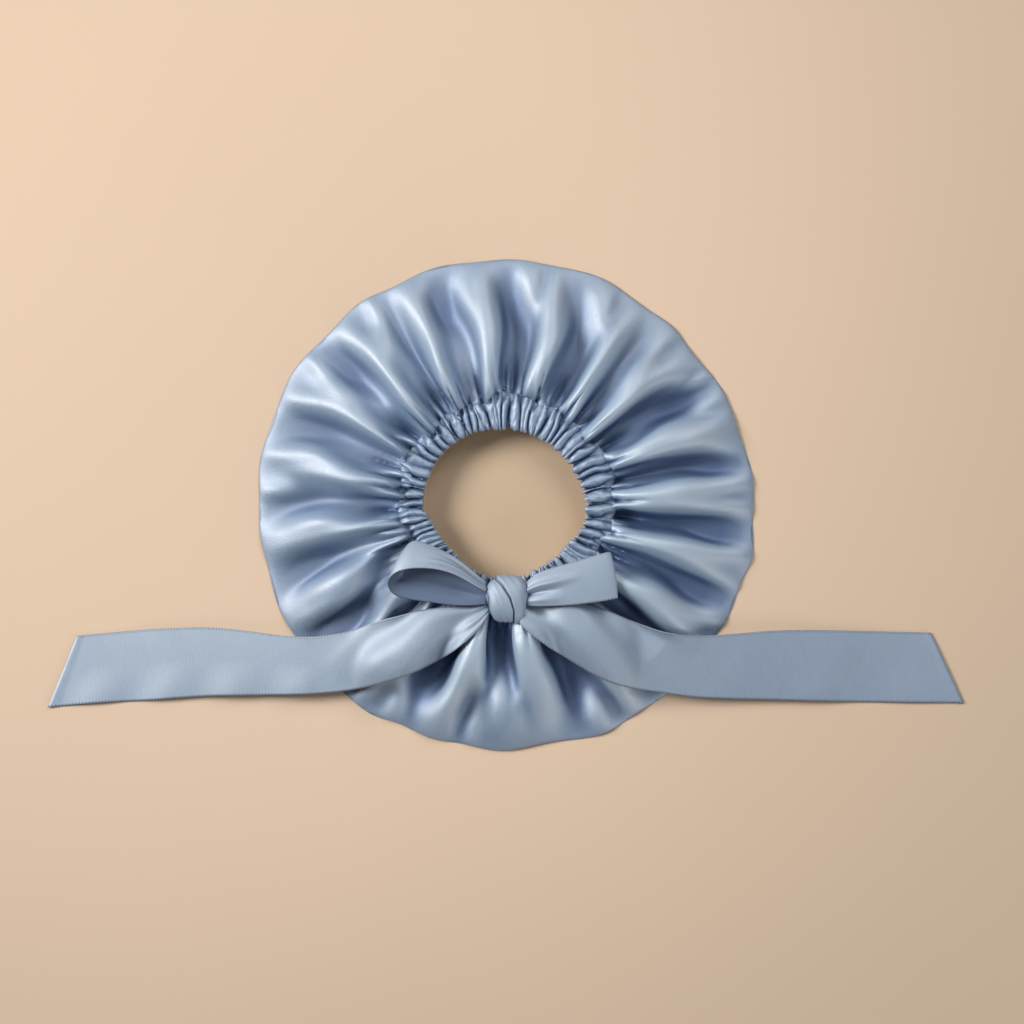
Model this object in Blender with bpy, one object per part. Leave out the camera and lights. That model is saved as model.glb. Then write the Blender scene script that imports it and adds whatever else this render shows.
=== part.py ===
"""Satin sleep bonnet, lying with its gathered mouth up and its ribbon tied in a bow.

The crown is one bag of satin. It lies flat on the table, turns over at the rim and comes back
as a puffed ring of folds, which a seam gathers into a ribbed elastic casing round the mouth.
A plain lining hangs inside. The bow sits on the casing: a knot, two loops and two long tails.

Metres, +Z up, +X to the wearer's left and right, +Y away from the bow. The origin is the middle
of the crown's resting face, right under the middle of the mouth.
"""

import math
from collections import namedtuple

import bmesh
import bpy
import numpy as np

# Cloth and gaps.
CROWN_WALL = 0.0012
LINING_WALL = 0.0010
RIBBON_WALL = 0.0010
SHARP_EDGE = math.radians(50)

# The mouth and its elastic casing.
SEAM_RADIUS = 0.0782  # the stitched outer edge of the casing
CASING_BOTTOM = 0.0178
CASING_TOP = 0.0222
CASING_LIP = 0.0016  # how far its rolled mouth edge stands out from its faces
CASING_SEAM_DROP = 0.0006  # how much lower its top lies at the seam than in its middle
CASING_LIP_DROP = 0.0002
PLEATS = 58  # gathered ribs round the casing
PLEAT_DEPTH = 0.0012
PLEAT_COLUMNS = ((0.0, 1.0), (0.3, 0.0), (0.7, 0.0))  # share of a rib's width, share of a groove
SEAM_NOTCH = 0.0004  # how far the grooves pinch in the casing's two edges

# Which share of the gap between two valleys each column of the folded crown stands at,
# and the share of the fold's depth that is left there.
COLUMNS = ((0.0, 1.0), (0.24, 0.36), (0.5, 0.0), (0.76, 0.36))

# One row for each ring of the crown, from the casing's seam over the puff and the rim to the
# flat underside. depth is how deep a full fold cuts there, and spread how much of the rim's
# own outline the ring takes on.
Ring = namedtuple("Ring", "radius height depth spread")
CROWN_RINGS = (
    Ring(0.0785, 0.0215, 0.0030, 0.00),
    Ring(0.0845, 0.0282, 0.0105, 0.05),
    Ring(0.0950, 0.0318, 0.0140, 0.15),
    Ring(0.1110, 0.0308, 0.0140, 0.30),
    Ring(0.1290, 0.0258, 0.0115, 0.50),
    Ring(0.1450, 0.0186, 0.0080, 0.70),
    Ring(0.1580, 0.0116, 0.0048, 0.85),
    Ring(0.1675, 0.0070, 0.0024, 0.95),
    Ring(0.1738, 0.0034, 0.0004, 1.00),
    Ring(0.1722, 0.0006, 0.0000, 1.00),
    Ring(0.1660, 0.0000, 0.0000, 1.00),
)
RIM_RADIUS = 0.1738

LINING_RINGS = (
    Ring(0.0575, 0.0172, 0, 0.00),
    Ring(0.0760, 0.0160, 0, 0.00),
    Ring(0.0850, 0.0138, 0, 0.05),
    Ring(0.1110, 0.0130, 0, 0.30),
    Ring(0.1290, 0.0106, 0, 0.50),
    Ring(0.1540, 0.0054, 0, 0.80),
    Ring(0.1600, 0.0036, 0, 0.90),
    Ring(0.1585, 0.0021, 0, 0.90),
    Ring(0.1540, 0.0015, 0, 0.85),
)
LINING_COLUMNS = 48

# The valleys between the crown's folds, counter-clockwise from +X. The first three columns are
# where a valley runs, in degrees, at the seam, half way out and at the rim. reach is where it
# dies away, as a share of the way to the rim, and depth is its share of a full fold's depth.
Valley = namedtuple("Valley", "seam middle rim reach depth")
MIDDLE_SHARE = 0.45
VALLEYS = (
    Valley(11.5, 9.0, 8.0, 0.97, 1.00),
    Valley(23.5, 22.5, 24.0, 0.95, 0.70),
    Valley(35.5, 34.5, 32.0, 0.94, 1.00),
    Valley(50.5, 47.0, 44.0, 0.85, 0.95),
    Valley(65.5, 63.5, 64.0, 0.90, 1.05),
    Valley(79.5, 77.5, 82.0, 0.92, 0.85),
    Valley(88.5, 90.0, 90.0, 0.94, 1.00),
    Valley(100.0, 102.0, 101.0, 0.86, 0.70),
    Valley(110.0, 109.5, 108.5, 0.95, 1.00),
    Valley(123.3, 122.5, 121.5, 0.93, 0.85),
    Valley(131.0, 135.2, 137.0, 0.95, 1.05),
    Valley(142.0, 146.5, 148.5, 0.93, 0.75),
    Valley(159.0, 156.5, 157.0, 0.97, 1.05),
    Valley(166.0, 165.0, 169.0, 0.93, 0.80),
    Valley(175.5, 177.0, 179.0, 0.95, 1.05),
    Valley(184.0, 186.5, 187.5, 0.80, 0.80),
    Valley(192.5, 196.0, 198.0, 0.96, 1.05),
    Valley(204.0, 207.0, 208.0, 0.92, 0.75),
    Valley(214.0, 216.5, 217.5, 0.95, 1.00),
    Valley(227.0, 229.5, 229.0, 0.90, 0.85),
    Valley(239.0, 242.0, 240.0, 0.95, 0.95),
    Valley(252.0, 250.5, 248.5, 0.88, 0.85),
    Valley(262.0, 260.5, 260.0, 0.94, 0.85),
    Valley(272.0, 269.5, 271.0, 0.80, 0.85),
    Valley(281.5, 283.0, 284.5, 0.85, 0.85),
    Valley(292.0, 295.0, 297.5, 0.94, 0.90),
    Valley(306.0, 307.5, 309.0, 0.90, 0.80),
    Valley(321.0, 318.5, 318.5, 0.92, 0.95),
    Valley(334.0, 330.5, 328.5, 0.88, 0.75),
    Valley(340.5, 336.5, 336.0, 0.96, 1.00),
    Valley(350.0, 345.0, 344.5, 0.90, 0.70),
    Valley(357.5, 354.5, 353.5, 0.96, 1.00),
)
FADE = 0.35  # the last share of the way to its reach over which a valley dies away

# The mouth's and the rim's outlines seen from above: degrees, and millimetres from the middle.
# The bow pulls the mouth in below it. The rim swells where a fold runs out to it.
Outline = namedtuple("Outline", "degrees radius_mm")
MOUTH_OUTLINE = (
    Outline(0, 55.0),
    Outline(25, 52.4),
    Outline(55, 51.4),
    Outline(90, 52.6),
    Outline(120, 55.4),
    Outline(150, 57.0),
    Outline(178, 57.3),
    Outline(200, 51.4),
    Outline(222, 48.6),
    Outline(250, 50.6),
    Outline(275, 50.4),
    Outline(300, 49.2),
    Outline(325, 50.4),
    Outline(348, 55.4),
)
RIM_OUTLINE = (
    Outline(6, 175.3),
    Outline(17, 172.2),
    Outline(27, 173.2),
    Outline(39, 169.9),
    Outline(47, 172.3),
    Outline(55, 170.6),
    Outline(68, 173.9),
    Outline(79, 172.2),
    Outline(88, 173.5),
    Outline(96, 172.8),
    Outline(107, 174.9),
    Outline(117, 173.4),
    Outline(126, 176.3),
    Outline(136, 174.2),
    Outline(148, 177.4),
    Outline(160, 175.0),
    Outline(170, 176.4),
    Outline(179, 174.3),
    Outline(186, 175.0),
    Outline(194, 173.8),
    Outline(206, 176.2),
    Outline(221, 173.4),
    Outline(236, 176.0),
    Outline(245, 171.8),
    Outline(252, 173.0),
    Outline(259, 171.4),
    Outline(268, 173.6),
    Outline(280, 170.4),
    Outline(294, 175.6),
    Outline(302, 173.6),
    Outline(312, 175.2),
    Outline(323, 172.8),
    Outline(333, 175.6),
    Outline(341, 174.6),
    Outline(348, 177.8),
    Outline(357, 174.4),
)

# How high a ribbon's underside lies over the bonnet, by its distance from the middle: on top
# of the folds, then down over the rim to the table.
Drape = namedtuple("Drape", "distance height")
RIBBON_DRAPE = (
    Drape(0.060, 0.0292),
    Drape(0.080, 0.0300),
    Drape(0.090, 0.0315),
    Drape(0.097, 0.0325),
    Drape(0.105, 0.0325),
    Drape(0.113, 0.0315),
    Drape(0.121, 0.0295),
    Drape(0.130, 0.0266),
    Drape(0.138, 0.0232),
    Drape(0.146, 0.0194),
    Drape(0.153, 0.0156),
    Drape(0.160, 0.0119),
    Drape(0.166, 0.0092),
    Drape(0.171, 0.0066),
    Drape(0.176, 0.0042),
    Drape(0.182, 0.0022),
    Drape(0.190, 0.0007),
    Drape(0.200, 0.0000),
)

# The tails' two edges seen from above, in millimetres, from the knot to the slanted end. up is
# the edge nearer the mouth, down the one nearer the wearer.
TailRow = namedtuple("TailRow", "up_x up_y down_x down_y")
TAIL_LEFT = (
    TailRow(-16.3, -66.5, -16.3, -77.5),
    TailRow(-36.2, -71.7, -22.7, -90.2),
    TailRow(-61.1, -75.3, -41.9, -105.1),
    TailRow(-85.9, -81.7, -66.7, -116.4),
    TailRow(-110.8, -89.5, -95.1, -126.4),
    TailRow(-133.5, -93.0, -125.0, -132.1),
    TailRow(-156.9, -93.0, -153.4, -134.2),
    TailRow(-181.8, -90.2, -181.8, -134.9),
    TailRow(-206.6, -86.6, -208.7, -135.6),
    TailRow(-252.8, -88.0, -256.3, -138.0),
    TailRow(-304.0, -93.0, -325.0, -144.0),
)
TAIL_RIGHT = (
    TailRow(16.3, -66.5, 16.3, -78.5),
    TailRow(29.8, -64.0, 22.7, -90.9),
    TailRow(49.0, -65.3, 36.9, -103.0),
    TailRow(68.9, -72.4, 56.1, -114.3),
    TailRow(89.5, -80.9, 78.8, -124.3),
    TailRow(110.8, -88.8, 105.8, -132.1),
    TailRow(134.2, -91.6, 132.1, -134.9),
    TailRow(159.0, -90.9, 159.0, -136.3),
    TailRow(186.0, -88.8, 187.4, -137.7),
    TailRow(230.0, -88.8, 233.6, -138.8),
    TailRow(302.5, -90.2, 325.0, -140.6),
)
TAIL_SPANS = 3  # strips between two rows of a tail's table
TAIL_ACROSS = 4

# The loops' two edges in millimetres, from the knot out along the upper strand, round the end
# and back along the lower strand. near is the edge nearer the wearer.
LoopRow = namedtuple("LoopRow", "near_x near_y near_z far_x far_y far_z")
LOOP_LEFT = (
    LoopRow(-16.4, -62.0, 35.0, -16.4, -56.4, 33.4),
    LoopRow(-25.6, -52.5, 41.5, -21.8, -44.7, 35.6),
    LoopRow(-41.2, -45.2, 45.2, -34.6, -33.8, 35.0),
    LoopRow(-58.2, -43.8, 47.0, -46.0, -28.2, 34.4),
    LoopRow(-73.1, -46.6, 45.6, -54.6, -25.4, 33.6),
    LoopRow(-81.4, -53.0, 41.4, -57.6, -25.4, 32.2),
    LoopRow(-80.0, -60.6, 36.8, -56.6, -27.4, 30.8),
    LoopRow(-71.0, -65.3, 34.4, -50.5, -32.0, 30.3),
    LoopRow(-52.5, -68.0, 33.5, -40.2, -40.0, 30.9),
    LoopRow(-32.7, -69.4, 33.4, -27.4, -52.0, 31.8),
    LoopRow(-16.4, -71.0, 32.9, -16.4, -63.6, 32.0),
)
LOOP_RIGHT = (
    LoopRow(16.4, -70.0, 35.4, 16.4, -57.0, 35.0),
    LoopRow(29.8, -71.4, 38.6, 29.8, -46.9, 37.4),
    LoopRow(46.9, -70.6, 40.0, 49.0, -41.2, 38.2),
    LoopRow(65.3, -69.2, 39.8, 64.6, -35.6, 38.0),
    LoopRow(75.8, -67.9, 38.2, 71.4, -33.4, 36.8),
    LoopRow(78.6, -67.5, 36.1, 74.0, -33.6, 34.9),
    LoopRow(75.8, -66.9, 34.1, 71.2, -34.6, 33.2),
    LoopRow(59.6, -67.5, 33.2, 58.2, -39.6, 32.5),
    LoopRow(38.3, -68.5, 33.1, 38.3, -47.6, 32.5),
    LoopRow(16.4, -68.5, 32.2, 16.4, -57.5, 32.0),
)
LOOP_SPANS = 2
LOOP_ACROSS = 4
LOOP_BULGE = 0.0016  # how far the cloth of a loop swells between its edges

# The knot: a barrel of ribbon wrapped over the middle of the bow, with one wrap lapped over
# the other along a slanting groove.
KNOT_MIDDLE = (0.0010, -0.0676, 0.0309)
KNOT_HALF_WIDTH = 0.0160
KNOT_HALF_LENGTH = 0.0164
KNOT_HALF_HEIGHT = 0.0083
KNOT_TAPER = 0.22  # how much narrower the knot is at the wearer's side
KNOT_GROOVE = 0.0016
KNOT_GROOVE_WIDTH = 0.16
KNOT_GROOVE_SLANT = 0.30  # shares of the knot's half width
KNOT_GROOVE_PLACE = 0.12
KNOT_ENDS = 0.72  # the size of the knot's end faces, as a share of its middle
KNOT_GAP = 0.0006  # from the end faces to the ribbon that comes out of them
KNOT_AROUND = 24
KNOT_ALONG = 10

SATIN_BLUE = (0.22, 0.31, 0.47)
RIBBON_BLUE = (0.25, 0.34, 0.49)
LINING_BEIGE = (0.58, 0.43, 0.29)


def clear_scene():
    for obj in list(bpy.data.objects):
        bpy.data.objects.remove(obj, do_unlink=True)


def cloth_material(name, colour, roughness):
    material = bpy.data.materials.new(name)
    material.use_nodes = True
    shader = material.node_tree.nodes["Principled BSDF"]
    shader.inputs["Base Color"].default_value = (*colour, 1)
    shader.inputs["Roughness"].default_value = roughness
    shader.inputs["Metallic"].default_value = 0.0
    return material


def ease(x):
    """0 below 0, 1 above 1, and a smooth step between."""
    x = np.clip(x, 0, 1)
    return x * x * (3 - 2 * x)


def smooth_rows(rows, spans):
    """Points on a Catmull-Rom curve through the rows of a table, spans of them to each row."""
    rows = np.array(rows, float)
    padded = np.vstack([2 * rows[0] - rows[1], rows, 2 * rows[-1] - rows[-2]])
    points = []
    for i in range(len(rows) - 1):
        before, start, end, after = padded[i : i + 4]
        for t in np.arange(spans) / spans:
            points.append(
                0.5
                * (
                    2 * start
                    + (end - before) * t
                    + (2 * before - 5 * start + 4 * end - after) * t**2
                    + (3 * start - before - 3 * end + after) * t**3
                )
            )
    return np.array([*points, rows[-1]])


def outline_radius(outline, degrees):
    """An outline's distance from the middle at these angles, in metres."""
    angles, radii = np.transpose(outline)
    angles = np.concatenate([angles[-1:] - 360, angles, angles[:1] + 360])
    radii = np.concatenate([radii[-1:], radii, radii[:1]]) / 1000
    return np.interp(np.mod(degrees, 360), angles, radii)


def rim_swell(degrees):
    return outline_radius(RIM_OUTLINE, degrees) - RIM_RADIUS


def valley_line(valley, share):
    """A valley's angle in degrees at a share of the way from the seam to the rim: the parabola
    through its three charted angles."""
    first = (share - MIDDLE_SHARE) * (share - 1) / MIDDLE_SHARE
    second = share * (share - 1) / (MIDDLE_SHARE * (MIDDLE_SHARE - 1))
    third = share * (share - MIDDLE_SHARE) / (1 - MIDDLE_SHARE)
    return valley.seam * first + valley.middle * second + valley.rim * third


def valley_depth(valley, share):
    return valley.depth * (1 - ease((share - valley.reach + FADE) / FADE))


def polar(radius, degrees, height):
    angle = np.radians(degrees)
    return np.stack([radius * np.cos(angle), radius * np.sin(angle), height + 0 * angle], axis=1)


def crown_ring(ring):
    """One ring of the folded crown: four columns to a valley, from valley floor to crest."""
    share = min(1, max(0, (ring.radius - CROWN_RINGS[0].radius) / (RIM_RADIUS - CROWN_RINGS[0].radius)))
    degrees, heights = [], []
    for i, valley in enumerate(VALLEYS):
        following = VALLEYS[(i + 1) % len(VALLEYS)]
        turn = 360 if i + 1 == len(VALLEYS) else 0
        start = valley_line(valley, share)
        gap = valley_line(following, share) + turn - start
        for place, left in COLUMNS:
            own = valley if place < 0.5 else following
            degrees.append(start + place * gap)
            heights.append(ring.height - left * valley_depth(own, share) * ring.depth)
    degrees = np.array(degrees)
    radius = ring.radius + ring.spread * rim_swell(degrees)
    return polar(radius, degrees, np.array(heights))


def lining_ring(ring):
    degrees = np.arange(LINING_COLUMNS) * 360 / LINING_COLUMNS
    return polar(ring.radius + ring.spread * rim_swell(degrees), degrees, ring.height)


def add_object(name, mesh, material):
    mesh.materials.append(material)
    mesh.shade_smooth()
    mesh.set_sharp_from_angle(angle=SHARP_EDGE)
    obj = bpy.data.objects.new(name, mesh)
    bpy.context.scene.collection.objects.link(obj)
    return obj


def thicken(obj, wall, offset):
    """A wall of cloth from a single skin: offset -1 puts it inside the skin, 0 on both sides."""
    solidify = obj.modifiers.new("Wall", "SOLIDIFY")
    solidify.thickness = wall
    solidify.offset = offset
    solidify.use_even_offset = offset != 0
    solidify.use_quality_normals = True
    solidify.use_rim = True


def mesh_from_rows(name, rows, around, fill_last=False, closed=False):
    """A skin of quads through rows of points. around joins each row's ends, fill_last caps the
    last row with one face, and closed joins the last row to the first."""
    graph = bmesh.new()
    made = [[graph.verts.new(point) for point in row] for row in rows]
    pairs = list(zip(made, made[1:]))
    if closed:
        pairs.append((made[-1], made[0]))
    for row, following in pairs:
        for i in range(len(row) if around else len(row) - 1):
            j = (i + 1) % len(row)
            graph.faces.new((row[i], row[j], following[j], following[i]))
    if fill_last:
        graph.faces.new(made[-1])
    bmesh.ops.recalc_face_normals(graph, faces=graph.faces)
    mesh = bpy.data.meshes.new(name)
    graph.to_mesh(mesh)
    graph.free()
    return mesh


def make_crown(satin):
    rings = [crown_ring(ring) for ring in CROWN_RINGS]
    crown = add_object("crown", mesh_from_rows("crown", rings, True, fill_last=True), satin)
    thicken(crown, CROWN_WALL, -1)


def make_lining(beige):
    rings = [lining_ring(ring) for ring in LINING_RINGS]
    lining = add_object("lining", mesh_from_rows("lining", rings, True, fill_last=True), beige)
    thicken(lining, LINING_WALL, -1)


def make_casing(satin):
    """The gathered hem: a flat ring with a groove between each two of its ribs, three columns to
    a rib. It is closed on itself both ways."""
    step = 360 / PLEATS
    degrees, grooves = [], []
    for pleat in range(PLEATS):
        for place, groove in PLEAT_COLUMNS:
            degrees.append((pleat + place) * step)
            grooves.append(groove)
    degrees, grooves = np.array(degrees), np.array(grooves)
    mouth = outline_radius(MOUTH_OUTLINE, degrees) + grooves * SEAM_NOTCH
    seam = SEAM_RADIUS - grooves * SEAM_NOTCH + 0 * degrees
    top = CASING_TOP - grooves * PLEAT_DEPTH
    rings = [
        polar(seam, degrees, CASING_BOTTOM),
        polar(seam, degrees, top - CASING_SEAM_DROP),
        polar((seam + mouth) / 2, degrees, top),
        polar(mouth + CASING_LIP, degrees, top - CASING_LIP_DROP),
        polar(mouth, degrees, (CASING_TOP + CASING_BOTTOM) / 2),
        polar(mouth + CASING_LIP, degrees, CASING_BOTTOM),
    ]
    add_object("elastic_casing", mesh_from_rows("elastic_casing", rings, True, closed=True), satin)


def drape_height(x, y):
    """The underside of a ribbon laid over the bonnet, by its distance from the middle. Where the
    crown's rim swells, the drape swells with it."""
    reach = np.hypot(x, y)
    swell = rim_swell(np.degrees(np.arctan2(y, x)))
    reach = reach - swell * ease((reach - SEAM_RADIUS) / (RIM_RADIUS - SEAM_RADIUS))
    distance, height = np.transpose(RIBBON_DRAPE)
    return np.interp(reach, distance, height)


def knot_side(y, side):
    """X of the knot's slanted end face at this Y, a small gap outside it. side is 1 or -1."""
    up = (y - KNOT_MIDDLE[1]) / (KNOT_HALF_LENGTH * KNOT_ENDS)
    half = KNOT_HALF_WIDTH * (1 - KNOT_TAPER * (1 - up) / 2)
    return KNOT_MIDDLE[0] + side * (half + KNOT_GAP)


def make_tail(name, table, satin):
    """A ribbon tail: its two charted edges, joined by strips that lie on the drape. It starts at
    the knot's end face."""
    edges = smooth_rows(table, TAIL_SPANS) / 1000
    side = np.sign(edges[0, 0])
    edges[0, 0], edges[0, 2] = knot_side(edges[0, 1], side), knot_side(edges[0, 3], side)
    across = np.linspace(0, 1, TAIL_ACROSS + 1)[None, :, None]
    flat = edges[:, None, :2] * (1 - across) + edges[:, None, 2:] * across
    height = drape_height(flat[..., 0], flat[..., 1]) + RIBBON_WALL
    points = np.concatenate([flat, height[..., None]], axis=2)
    solid_ribbon(name, points, satin)


def make_loop(name, table, satin):
    """A bow loop: near and far edges through the table, with the cloth swelling between them."""
    edges = smooth_rows(table, LOOP_SPANS) / 1000
    side = np.sign(edges[0, 0])
    for end in (0, -1):
        edges[end, 0] = knot_side(edges[end, 1], side)
        edges[end, 3] = knot_side(edges[end, 4], side)
    near, far = edges[:, None, :3], edges[:, None, 3:]
    across = np.linspace(0, 1, LOOP_ACROSS + 1)[None, :, None]
    points = near * (1 - across) + far * across
    along = np.gradient(points, axis=0)
    out = np.cross(far - near, along)
    out /= np.linalg.norm(out, axis=2, keepdims=True)
    swell = ease(np.linspace(0, 4, len(points)))[:, None, None]
    swell = swell * swell[::-1] * 4 * across * (1 - across)
    points = points + LOOP_BULGE * swell * out
    middle = ribbon_normals(points) * RIBBON_WALL / 2
    solid_ribbon(name, points + middle, satin)


def ribbon_normals(points):
    along, across = np.gradient(points, axis=0), np.gradient(points, axis=1)
    normal = np.cross(along, across)
    return normal / np.linalg.norm(normal, axis=2, keepdims=True)


def solid_ribbon(name, upper, satin):
    """A closed wall RIBBON_WALL thick under a grid of points: both faces and the four edges."""
    normal = ribbon_normals(upper)
    if name.startswith("tail"):
        normal = np.zeros_like(upper) + (0, 0, 1)
    lower = upper - normal * RIBBON_WALL
    rows = [np.concatenate([top, bottom[::-1]]) for top, bottom in zip(upper, lower)]
    graph = bmesh.new()
    made = [[graph.verts.new(point) for point in row] for row in rows]
    for row, following in zip(made, made[1:]):
        for i in range(len(row)):
            j = (i + 1) % len(row)
            graph.faces.new((row[i], row[j], following[j], following[i]))
    for row in (made[0], made[-1]):
        for i in range(len(row) // 2 - 1):
            graph.faces.new((row[i], row[i + 1], row[-i - 2], row[-i - 1]))
    bmesh.ops.recalc_face_normals(graph, faces=graph.faces)
    mesh = bpy.data.meshes.new(name)
    graph.to_mesh(mesh)
    graph.free()
    add_object(name, mesh, satin)


def make_knot(satin):
    """Rings round the X axis, from one end face to the other. The groove runs from the middle of
    the mouth side to the right of the wearer's side, and the wrap beyond it lies lower."""
    around = np.linspace(0, 2 * math.pi, KNOT_AROUND, endpoint=False)
    rows = []
    for u in np.linspace(-1, 1, KNOT_ALONG + 1):
        size = KNOT_ENDS + (1 - KNOT_ENDS) * (1 - abs(u) ** 3)
        from_groove = u + KNOT_GROOVE_SLANT * np.cos(around) - KNOT_GROOVE_PLACE
        groove = np.exp(-((from_groove / KNOT_GROOVE_WIDTH) ** 2)) * (np.sin(around) >= 0)
        taper = 1 - KNOT_TAPER * (1 - np.cos(around)) / 2
        y = np.cos(around) * KNOT_HALF_LENGTH * size
        z = np.sin(around) * KNOT_HALF_HEIGHT * size
        inward = 1 - groove * KNOT_GROOVE / KNOT_HALF_HEIGHT
        rows.append(
            np.stack([u * KNOT_HALF_WIDTH * taper, y * inward, z * inward], axis=1) + KNOT_MIDDLE
        )
    graph = bmesh.new()
    made = [[graph.verts.new(point) for point in row] for row in rows]
    for row, following in zip(made, made[1:]):
        for i in range(len(row)):
            j = (i + 1) % len(row)
            graph.faces.new((row[i], row[j], following[j], following[i]))
    graph.faces.new(made[0])
    graph.faces.new(made[-1])
    bmesh.ops.recalc_face_normals(graph, faces=graph.faces)
    mesh = bpy.data.meshes.new("bow_knot")
    graph.to_mesh(mesh)
    graph.free()
    add_object("bow_knot", mesh, satin)


def main():
    clear_scene()
    satin = cloth_material("crown_satin", SATIN_BLUE, 0.32)
    ribbon = cloth_material("ribbon_satin", RIBBON_BLUE, 0.36)
    beige = cloth_material("lining_satin", LINING_BEIGE, 0.6)
    make_crown(satin)
    make_lining(beige)
    make_casing(satin)
    make_knot(ribbon)
    make_loop("bow_loop_left", LOOP_LEFT, ribbon)
    make_loop("bow_loop_right", LOOP_RIGHT, ribbon)
    make_tail("tail_left", TAIL_LEFT, ribbon)
    make_tail("tail_right", TAIL_RIGHT, ribbon)


main()
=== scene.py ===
# %% [markdown]
# # A satin sleep bonnet, lying mouth up
#
# The real bonnet is one big circle of satin. Its edge is turned over, gathered and sewn round an
# elastic, so the cloth comes back over itself as a puffed ring of folds. A lining lies inside,
# and a satin ribbon is tied in a bow on the gathered edge.
#
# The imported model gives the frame: real sizes, in metres, and one plain solid for each piece.
# Here every piece of cloth is made again with its folds, ribs and weave.

import math
from collections import namedtuple

import bpy
import numpy as np
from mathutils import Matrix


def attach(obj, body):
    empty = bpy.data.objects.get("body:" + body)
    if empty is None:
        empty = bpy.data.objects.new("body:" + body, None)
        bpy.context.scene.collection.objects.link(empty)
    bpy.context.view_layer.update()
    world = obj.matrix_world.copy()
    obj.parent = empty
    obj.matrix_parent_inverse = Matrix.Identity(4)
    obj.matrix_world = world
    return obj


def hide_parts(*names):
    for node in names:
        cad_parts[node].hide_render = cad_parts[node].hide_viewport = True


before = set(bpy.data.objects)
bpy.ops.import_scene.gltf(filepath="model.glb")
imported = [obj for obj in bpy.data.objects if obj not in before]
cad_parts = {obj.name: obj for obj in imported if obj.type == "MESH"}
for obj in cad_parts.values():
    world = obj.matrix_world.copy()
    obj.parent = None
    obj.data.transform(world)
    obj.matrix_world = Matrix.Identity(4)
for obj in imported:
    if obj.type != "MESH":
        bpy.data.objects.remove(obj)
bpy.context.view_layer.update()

MM = 0.001


def table(columns, *rows):
    """Rows with named columns."""
    row_kind = namedtuple("Row", columns)
    return [row_kind(*row) for row in rows]


# %% [markdown]
# ## Camera and light
#
# The camera looks straight down from far away with a long lens, so that hardly any perspective
# shows. One pixel of the picture is 0.71 mm on the table. The middle of the mouth is a little
# off the middle of the picture. A big soft lamp stands to the left and slightly above, and the
# shadow in the mouth tells its direction. Three weak ones and the pale world fill the rest.

# %% Camera
PIXEL = 0.71 * MM
PICTURE_PIXELS = 1024
MOUTH_PIXEL = (506, 505)
CAMERA_HEIGHT = 3.2
SENSOR_MM = 36


def placed(name, data, location=(0, 0, 0), rotation=(0, 0, 0)):
    obj = bpy.data.objects.new(name, data)
    obj.location, obj.rotation_euler = location, rotation
    bpy.context.scene.collection.objects.link(obj)
    return obj


def look_down():
    camera = bpy.data.cameras.new("camera")
    camera.sensor_width = SENSOR_MM
    camera.lens = SENSOR_MM * CAMERA_HEIGHT / (PICTURE_PIXELS * PIXEL)
    camera.clip_end = 20
    x, y = ((PICTURE_PIXELS / 2 - at) * PIXEL for at in MOUTH_PIXEL)
    bpy.context.scene.camera = placed("camera", camera, (x, -y, CAMERA_HEIGHT))
    print("lens", round(camera.lens, 1), "mm")


look_down()

# %% Light
LAMPS = table(
    "name azimuth elevation distance size energy colour",
    ("key", 160, 37, 3.8, 1.7, 162, (1.0, 0.98, 0.95)),
    ("window", 62, 42, 3.0, 1.8, 38, (1.0, 0.99, 0.97)),
    ("ceiling", 20, 76, 4.2, 2.6, 10, (1.0, 0.98, 0.96)),
    ("pale_wall", 318, 20, 2.8, 2.0, 27, (0.98, 0.99, 1.0)),
)
WORLD_COLOUR, WORLD_STRENGTH = (0.93, 0.95, 1.0, 1), 0.06


def light_studio():
    """Round lamps that face the middle of the table, and a faint world."""
    for row in LAMPS:
        lamp = bpy.data.lights.new(row.name, "AREA")
        lamp.shape, lamp.size = "DISK", row.size
        lamp.energy, lamp.color = row.energy, row.colour
        a, e = math.radians(row.azimuth), math.radians(row.elevation)
        way = (math.cos(e) * math.cos(a), math.cos(e) * math.sin(a), math.sin(e))
        turned = (math.pi / 2 - e, 0, a + math.pi / 2)
        placed(row.name, lamp, [row.distance * part for part in way], turned)
    world = bpy.data.worlds.new("studio")
    world.use_nodes = True
    background = world.node_tree.nodes["Background"]
    background.inputs["Color"].default_value = WORLD_COLOUR
    background.inputs["Strength"].default_value = WORLD_STRENGTH
    bpy.context.scene.world = world
    bpy.context.scene.view_settings.view_transform = "Standard"


light_studio()

# %% [markdown]
# ## Making a mesh from a grid
#
# Every piece of cloth below is a grid of points worked out with numpy. One helper turns such a
# grid into a wall of cloth: the outer skin, an inner skin a wall's thickness behind it, and the
# edge strips between them, so that each piece is closed. The map on it is in metres of cloth,
# which lets the weave follow the surface.

# %% Curves and steps
def ease(x):
    """0 below 0, 1 above 1, and a smooth step between."""
    x = np.clip(x, 0, 1)
    return x * x * (3 - 2 * x)


def look_up(rows, at):
    """A table of pairs read at any place between its rows."""
    return np.interp(at, *np.transpose(rows))


def smooth_through(rows, places):
    """A Catmull-Rom curve through the rows of a table, read at places from 0, the first row, to
    1, the last."""
    rows = np.array(rows, float)
    padded = np.vstack([2 * rows[0] - rows[1], rows, 2 * rows[-1] - rows[-2]])
    at = np.clip(np.asarray(places) * (len(rows) - 1), 0, len(rows) - 1 - 1e-9)
    i = at.astype(int)
    t = (at - i)[:, None]
    before, start, end, after = padded[i], padded[i + 1], padded[i + 2], padded[i + 3]
    return 0.5 * (
        2 * start
        + (end - before) * t
        + (2 * before - 5 * start + 4 * end - after) * t**2
        + (3 * start - before - 3 * end + after) * t**3
    )


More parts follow.
